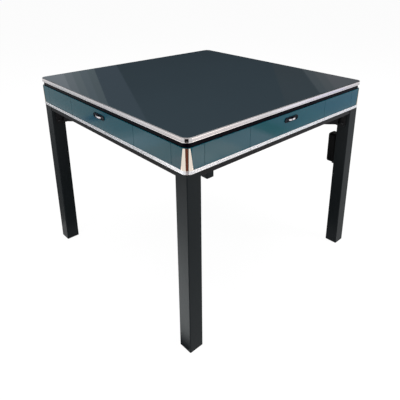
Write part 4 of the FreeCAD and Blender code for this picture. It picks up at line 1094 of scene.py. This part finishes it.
# ---------------------------------------- adapter
# Cut through the gland: (share of its radius, height above its lower end).
GLAND_CUT = ((0.55, 0.0), (0.72, 0.0), (0.78, 0.0014), (0.70, 0.0018), (0.88, 0.0022),
             (0.90, 0.0036), (0.82, 0.0040), (1.0, 0.0044), (1.0, GLAND_SIZE + 0.002))
FIRST_RIB = 0.022              # below the adapter's top
RIB_PITCH = 0.0042
LAMP_HEIGHT = 0.018            # above the adapter's underside


def adapter_housing():
    """Two half shells with a joint between them, ribs, a lamp and a ribbed gland."""
    low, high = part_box("adapter_housing")
    bottom, top, centre = low.z + GLAND_SIZE, high.z, (low.x + high.x) / 2.0
    groove, rounding, middle = sizes().adapter_groove, sizes().adapter_round, (bottom + top) / 2.0
    profile = lower_edge(0.0, bottom, rounding, 5)
    profile += [(0.0, middle - groove), (groove / 2.0, middle - groove / 2.0),
                (groove / 2.0, middle + groove / 2.0), (0.0, middle + groove)]
    profile += upper_edge(0.0, top, rounding, 5)
    outline = rounded_rectangle(low.x, high.x, low.y, high.y, rounding + 0.0005, 6)
    mesh = shell(outline, profile, closed_profile=False)
    gland = [(GLAND_SIZE * share, low.z + up) for share, up in GLAND_CUT]
    add_copies(mesh, turned(gland, (centre, high.y - GLAND_FROM_FACE), 28))
    onto_face = Matrix.Rotation(-QUARTER, 4, "X")
    ribs = [top - FIRST_RIB - number * RIB_PITCH for number in range(sizes().vent_count)]
    for detail, heights in ((raised_bar(RIB_HALVES, 0.0008, 4, RIB_CUT), ribs),
                            (turned(LAMP_CUT, segments=20, part=1), [bottom + LAMP_HEIGHT])):
        add_copies(mesh, detail, [Matrix.Translation((centre, high.y, z)) @ onto_face
                                  for z in heights])
    add_piece("Adapter", mesh, "adapter_housing", extra=("pip_red",))


class TABLE_OT_adapter(TablePart, bpy.types.Operator):
    """Power adapter in its cradle on the front right leg"""
    bl_idname = "table.adapter"
    bl_label = "Adapter"

    def execute(self, context):
        adapter_housing()
        dress("adapter_cradle", softening=sizes().edge_softening)
        return {"FINISHED"}


# ---------------------------------------- studio
CAMERA_PLACE = (-1.1573, -1.3074, 1.2000)
CAMERA_TURN = (1.2296, -0.0070, -0.7706)
CAMERA_LENS = 39.105
CAMERA_SHIFT = (-0.0515, -0.2)
CAMERA_FILM = 36.0             # millimetres wide
FLOOR_HALF = 45.0
FLOOR_GLOW = 0.95              # what the camera and gloss see
FILL_LIGHT = 0.18
BOARD_HEIGHT = 0.002
WHITE = (1.0, 1.0, 1.0, 1.0)
STAGE_CORNERS = ((0, 0), (1, 0), (1, 1), (0, 1))

# Lamps that gloss doesn't see: name, place, aim, width and power.
SOFTBOXES = (
    ("Overhead", (0.0, 0.0, 3.4), (0.0, 0.0, 0.0), 3.6, 100.0),
    ("Left_Key", (-3.4, -0.8, 2.4), (0.0, 0.0, 0.5), 2.0, 34.0),
    ("Right_Key", (1.8, -3.2, 2.4), (0.2, 0.0, 0.5), 1.8, 62.0),
)

# Rows of boards on the floor that only gloss sees: name, the axis that the row runs along,
# its two sides, the ends of its boards along that axis, and each board's brightness.
BOARD_ROWS = (
    ("Front_Board", "x", (-1.795, -1.495), (0.30, 0.67, 0.90, 1.245, 1.45, 2.02, 2.90),
     ((3.90, 3.60, 3.40), (3.20, 2.80, 2.60), (2.20, 2.05, 2.20), (0.56, 0.77, 0.57),
      (0.86, 1.05, 1.27), (0.78, 0.84, 1.20))),
    ("Left_Board", "y", (-1.56, -1.311), (0.40, 0.78, 1.04, 1.30, 1.42, 1.80, 1.93, 3.20),
     ((2.10, 1.70, 1.60), (1.60, 1.55, 1.50), (1.60, 1.80, 2.00), (1.00, 1.15, 1.25),
      (0.72, 0.86, 0.96), (0.12, 0.14, 0.45), (0.68, 0.78, 0.82))),
    ("Front_Trim_Board", "x", (-1.495, -1.380), (0.30, 0.76, 2.90),
     ((1.00, 1.00, 1.00), (1.38, 1.38, 1.42))),
    ("Left_Trim_Board", "y", (-1.311, -1.200), (0.35, 1.10, 3.20),
     ((1.30, 1.30, 1.30), (1.50, 1.52, 1.55))),
    ("Front_Band_Board", "x", (-2.100, -1.815), (1.30, 1.70, 3.40),
     ((1.25, 1.25, 1.30), (1.70, 1.65, 1.75))),
    ("Left_Leg_Board", "y", (-1.19, -0.50), (0.55, 2.60), ((0.25, 0.25, 0.25),)),
    ("Front_Leg_Board_1", "y", (-1.19, -0.76), (-0.20, 0.50), ((2.10, 2.15, 2.15),)),
    ("Front_Leg_Board_2", "y", (-0.76, -0.50), (-0.42, 0.10), ((3.40, 3.50, 3.50),)),
    # A dark board under the table: painted shade that the legs' inner faces and the under-frame
    # reflect.
    ("Middle_Board", "x", (-0.45, 0.32), (-0.48, 0.30), ((0.12, 0.12, 0.12),)),
)

# Rows of upright curved screens that only gloss sees: name, radius, (low z, high z), the ends
# of its screens along the lower and the upper edge in degrees from +X, and each brightness.
SCREEN_ROWS = (
    ("Dark_Screen", 7.0, (1.25, 5.2), (0.0, 360.0), (0.0, 360.0), ((0.018, 0.022, 0.026),)),
    ("Left_Dim_Strip", 6.8, (1.25, 5.2), (65.6, 68.0), (50.7, 58.7), ((0.063, 0.076, 0.095),)),
    ("Left_Strip", 6.8, (1.25, 5.2), (68.0, 69.2, 70.4, 71.6, 72.8, 84.0),
     (58.7, 59.9, 61.1, 62.3, 63.5, 84.0),
     ((0.175, 0.207, 0.216), (0.205, 0.240, 0.260), (0.253, 0.290, 0.300),
      (0.320, 0.350, 0.370), (0.430, 0.460, 0.490))),
    ("Right_Dim_Strip", 6.8, (1.25, 5.2), (38.0, 39.4), (9.4, 26.2), ((0.036, 0.034, 0.032),)),
    ("Right_Strip", 6.8, (1.25, 5.2), (38.0, 36.4, 34.8, 8.0), (9.4, 7.8, 6.2, 5.0),
     ((0.115, 0.118, 0.118), (0.150, 0.145, 0.140), (0.200, 0.180, 0.180))),
    ("Brown_Screen", 0.8, (0.530, 0.668), (220.9, 227.4), (220.7, 227.6),
     ((0.150, 0.052, 0.034),)),
    ("Grey_Screen", 0.8, (0.530, 0.668), (227.4, 229.4), (227.6, 229.8),
     ((0.035, 0.035, 0.040),)),
    ("Black_Screen", 0.8, (0.668, 0.730), (218.5, 231.0), (218.5, 231.0),
     ((0.010, 0.008, 0.010),)),
)


def intervals(ends):
    """The (start, stop) pairs between ends, each with the smaller number first."""
    return [sorted(pair) for pair in zip(ends, ends[1:])]


def numbered(name, row):
    """A name for each item of a row; the item of a row of one has no number."""
    return [name] if len(row) == 1 else [f"{name}_{number + 1}" for number in range(len(row))]


def bare_tree(owner):
    """The emptied node tree of a material or world."""
    owner.use_nodes = True
    owner.node_tree.nodes.clear()
    return owner.node_tree


def eye_or_gloss(tree):
    """1 for rays from the camera, from gloss and through clear pieces, else 0."""
    path = add_node(tree, "ShaderNodeLightPath").outputs
    return calc(tree, "MAXIMUM", path["Is Camera Ray"],
                calc(tree, "MAXIMUM", path["Is Glossy Ray"], path["Is Transmission Ray"]))


def stage_piece(name, mesh, material):
    piece = mesh_object(name, mesh, material)
    return piece


def flat_stage_piece(name, xs, ys, z, material):
    mesh = bmesh.new()
    mesh.faces.new([mesh.verts.new((xs[i], ys[j], z)) for i, j in STAGE_CORNERS])
    return stage_piece(name, mesh, material)


def studio_floor():
    """Pale floor, white to the camera and to gloss, that keeps the table's shadow."""
    material = bpy.data.materials.new("studio_floor")
    tree = bare_tree(material)
    plain = add_node(tree, "ShaderNodeBsdfDiffuse", {"Color": paint("studio_floor")})
    faint = add_node(tree, "ShaderNodeBsdfDiffuse", {"Color": GREY})
    glow = add_node(tree, "ShaderNodeEmission", {"Color": WHITE, "Strength": FLOOR_GLOW})
    white = add_node(tree, "ShaderNodeAddShader", {0: faint, 1: glow})
    shown = add_node(tree, "ShaderNodeMixShader", {0: eye_or_gloss(tree), 1: plain, 2: white})
    back = add_node(tree, "ShaderNodeNewGeometry").outputs["Backfacing"]
    open_back = add_node(tree, "ShaderNodeBsdfTransparent")
    whole = add_node(tree, "ShaderNodeMixShader", {0: back, 1: shown, 2: open_back})
    add_node(tree, "ShaderNodeOutputMaterial", {"Surface": whole})
    ends = (-FLOOR_HALF, FLOOR_HALF)
    flat_stage_piece("Studio_Floor", ends, ends, 0.0, material)


def glow_material(name, brightness):
    material = bpy.data.materials.new(name)
    tree = bare_tree(material)
    glow = add_node(tree, "ShaderNodeEmission", {"Color": (*brightness, 1.0), "Strength": 1.0})
    add_node(tree, "ShaderNodeOutputMaterial", {"Surface": glow})
    return material


def gloss_only(piece):
    """Hides a stage piece from everything but gloss."""
    for ray in ("camera", "diffuse", "shadow", "transmission"):
        setattr(piece, "visible_" + ray, False)


def curved_screen(name, radius, levels, edges, brightness):
    """An upright screen round the table."""
    mesh = bmesh.new()
    steps = max(3, int((edges[0][1] - edges[0][0]) / 5.0))
    columns = []
    for step in range(steps + 1):
        angles = [math.radians(start + (stop - start) * step / steps) for start, stop in edges]
        columns.append([mesh.verts.new((radius * math.cos(angle), radius * math.sin(angle), z))
                        for z, angle in zip(levels, angles)])
    for here, ahead in zip(columns, columns[1:]):
        mesh.faces.new((here[0], ahead[0], ahead[1], here[1]))
    gloss_only(stage_piece(name, mesh, glow_material(name, brightness)))


def screens():
    for row, radius, levels, below, above, glows in SCREEN_ROWS:
        edges = zip(intervals(below), intervals(above))
        for name, pair, glow in zip(numbered(row, glows), edges, glows):
            curved_screen(name, radius, levels, pair, glow)


def floor_boards():
    for row, axis, sides, ends, glows in BOARD_ROWS:
        for name, span, glow in zip(numbered(row, glows), intervals(ends), glows):
            xs, ys = (span, sides) if axis == "x" else (sides, span)
            gloss_only(flat_stage_piece(name, xs, ys, BOARD_HEIGHT, glow_material(name, glow)))


def softbox(name, place, aim, width, power):
    data = bpy.data.lights.new(name, "AREA")
    data.shape = "SQUARE"
    data.size = width
    data.energy = power
    lamp = new_object(name, data)
    lamp.location = place
    lamp.rotation_euler = (Vector(aim) - Vector(place)).to_track_quat("-Z", "Y").to_euler()
    lamp.visible_glossy = False


def studio_world():
    """White to the camera and to gloss; a plain soft fill for everything else."""
    world = bpy.data.worlds.new("studio")
    bpy.context.scene.world = world
    tree = bare_tree(world)
    soft, white = (add_node(tree, "ShaderNodeBackground", {"Color": WHITE, "Strength": strength})
                   for strength in (FILL_LIGHT, 1.0))
    mixed = add_node(tree, "ShaderNodeMixShader",
                     {0: eye_or_gloss(tree), 1: soft, 2: white})
    add_node(tree, "ShaderNodeOutputWorld", {"Surface": mixed})


def studio_camera():
    data = bpy.data.cameras.new("Camera")
    data.lens = CAMERA_LENS
    data.sensor_width = CAMERA_FILM
    data.shift_x, data.shift_y = CAMERA_SHIFT
    data.clip_end = 200.0
    camera = new_object("Camera", data)
    camera.location = CAMERA_PLACE
    camera.rotation_euler = CAMERA_TURN
    bpy.context.scene.camera = camera


class TABLE_OT_studio(TablePart, bpy.types.Operator):
    """Floor, lamps, screens, world and camera"""
    bl_idname = "table.studio"
    bl_label = "Studio"

    def execute(self, context):
        context.scene.view_settings.view_transform = "Standard"
        studio_floor()
        studio_world()
        for lamp in SOFTBOXES:
            softbox(*lamp)
        screens()
        floor_boards()
        studio_camera()
        return {"FINISHED"}


# ---------------------------------------- add-on
OPERATORS = (TABLE_OT_cover, TABLE_OT_playing_surface, TABLE_OT_side_panels, TABLE_OT_lower_trim,
             TABLE_OT_drawers, TABLE_OT_under_frame, TABLE_OT_legs, TABLE_OT_console,
             TABLE_OT_shuffler, TABLE_OT_tile_lifts, TABLE_OT_adapter, TABLE_OT_studio)


class TABLE_PT_panel(bpy.types.Panel):
    """Lists the table's pieces and settings"""
    bl_idname = "TABLE_PT_panel"
    bl_label = "Game Table"
    bl_space_type = "VIEW_3D"
    bl_region_type = "UI"
    bl_category = "Game Table"

    def draw(self, context):
        for operator in OPERATORS:
            self.layout.operator(operator.bl_idname)
        for settings in (context.scene.table_sizes, context.scene.table_colours):
            box = self.layout.box()
            for name in settings.__annotations__:
                box.prop(settings, name)


CLASSES = (TableSizes, TableColours, *OPERATORS, TABLE_PT_panel)


def register():
    for item in CLASSES:
        bpy.utils.register_class(item)
    bpy.types.Scene.table_sizes = bpy.props.PointerProperty(type=TableSizes)
    bpy.types.Scene.table_colours = bpy.props.PointerProperty(type=TableColours)


def unregister():
    del bpy.types.Scene.table_colours
    del bpy.types.Scene.table_sizes
    for item in reversed(CLASSES):
        bpy.utils.unregister_class(item)


def main():
    register()
    for operator in OPERATORS:
        getattr(bpy.ops.table, operator.bl_idname.split(".")[1])()


if __name__ == "__main__":
    main()
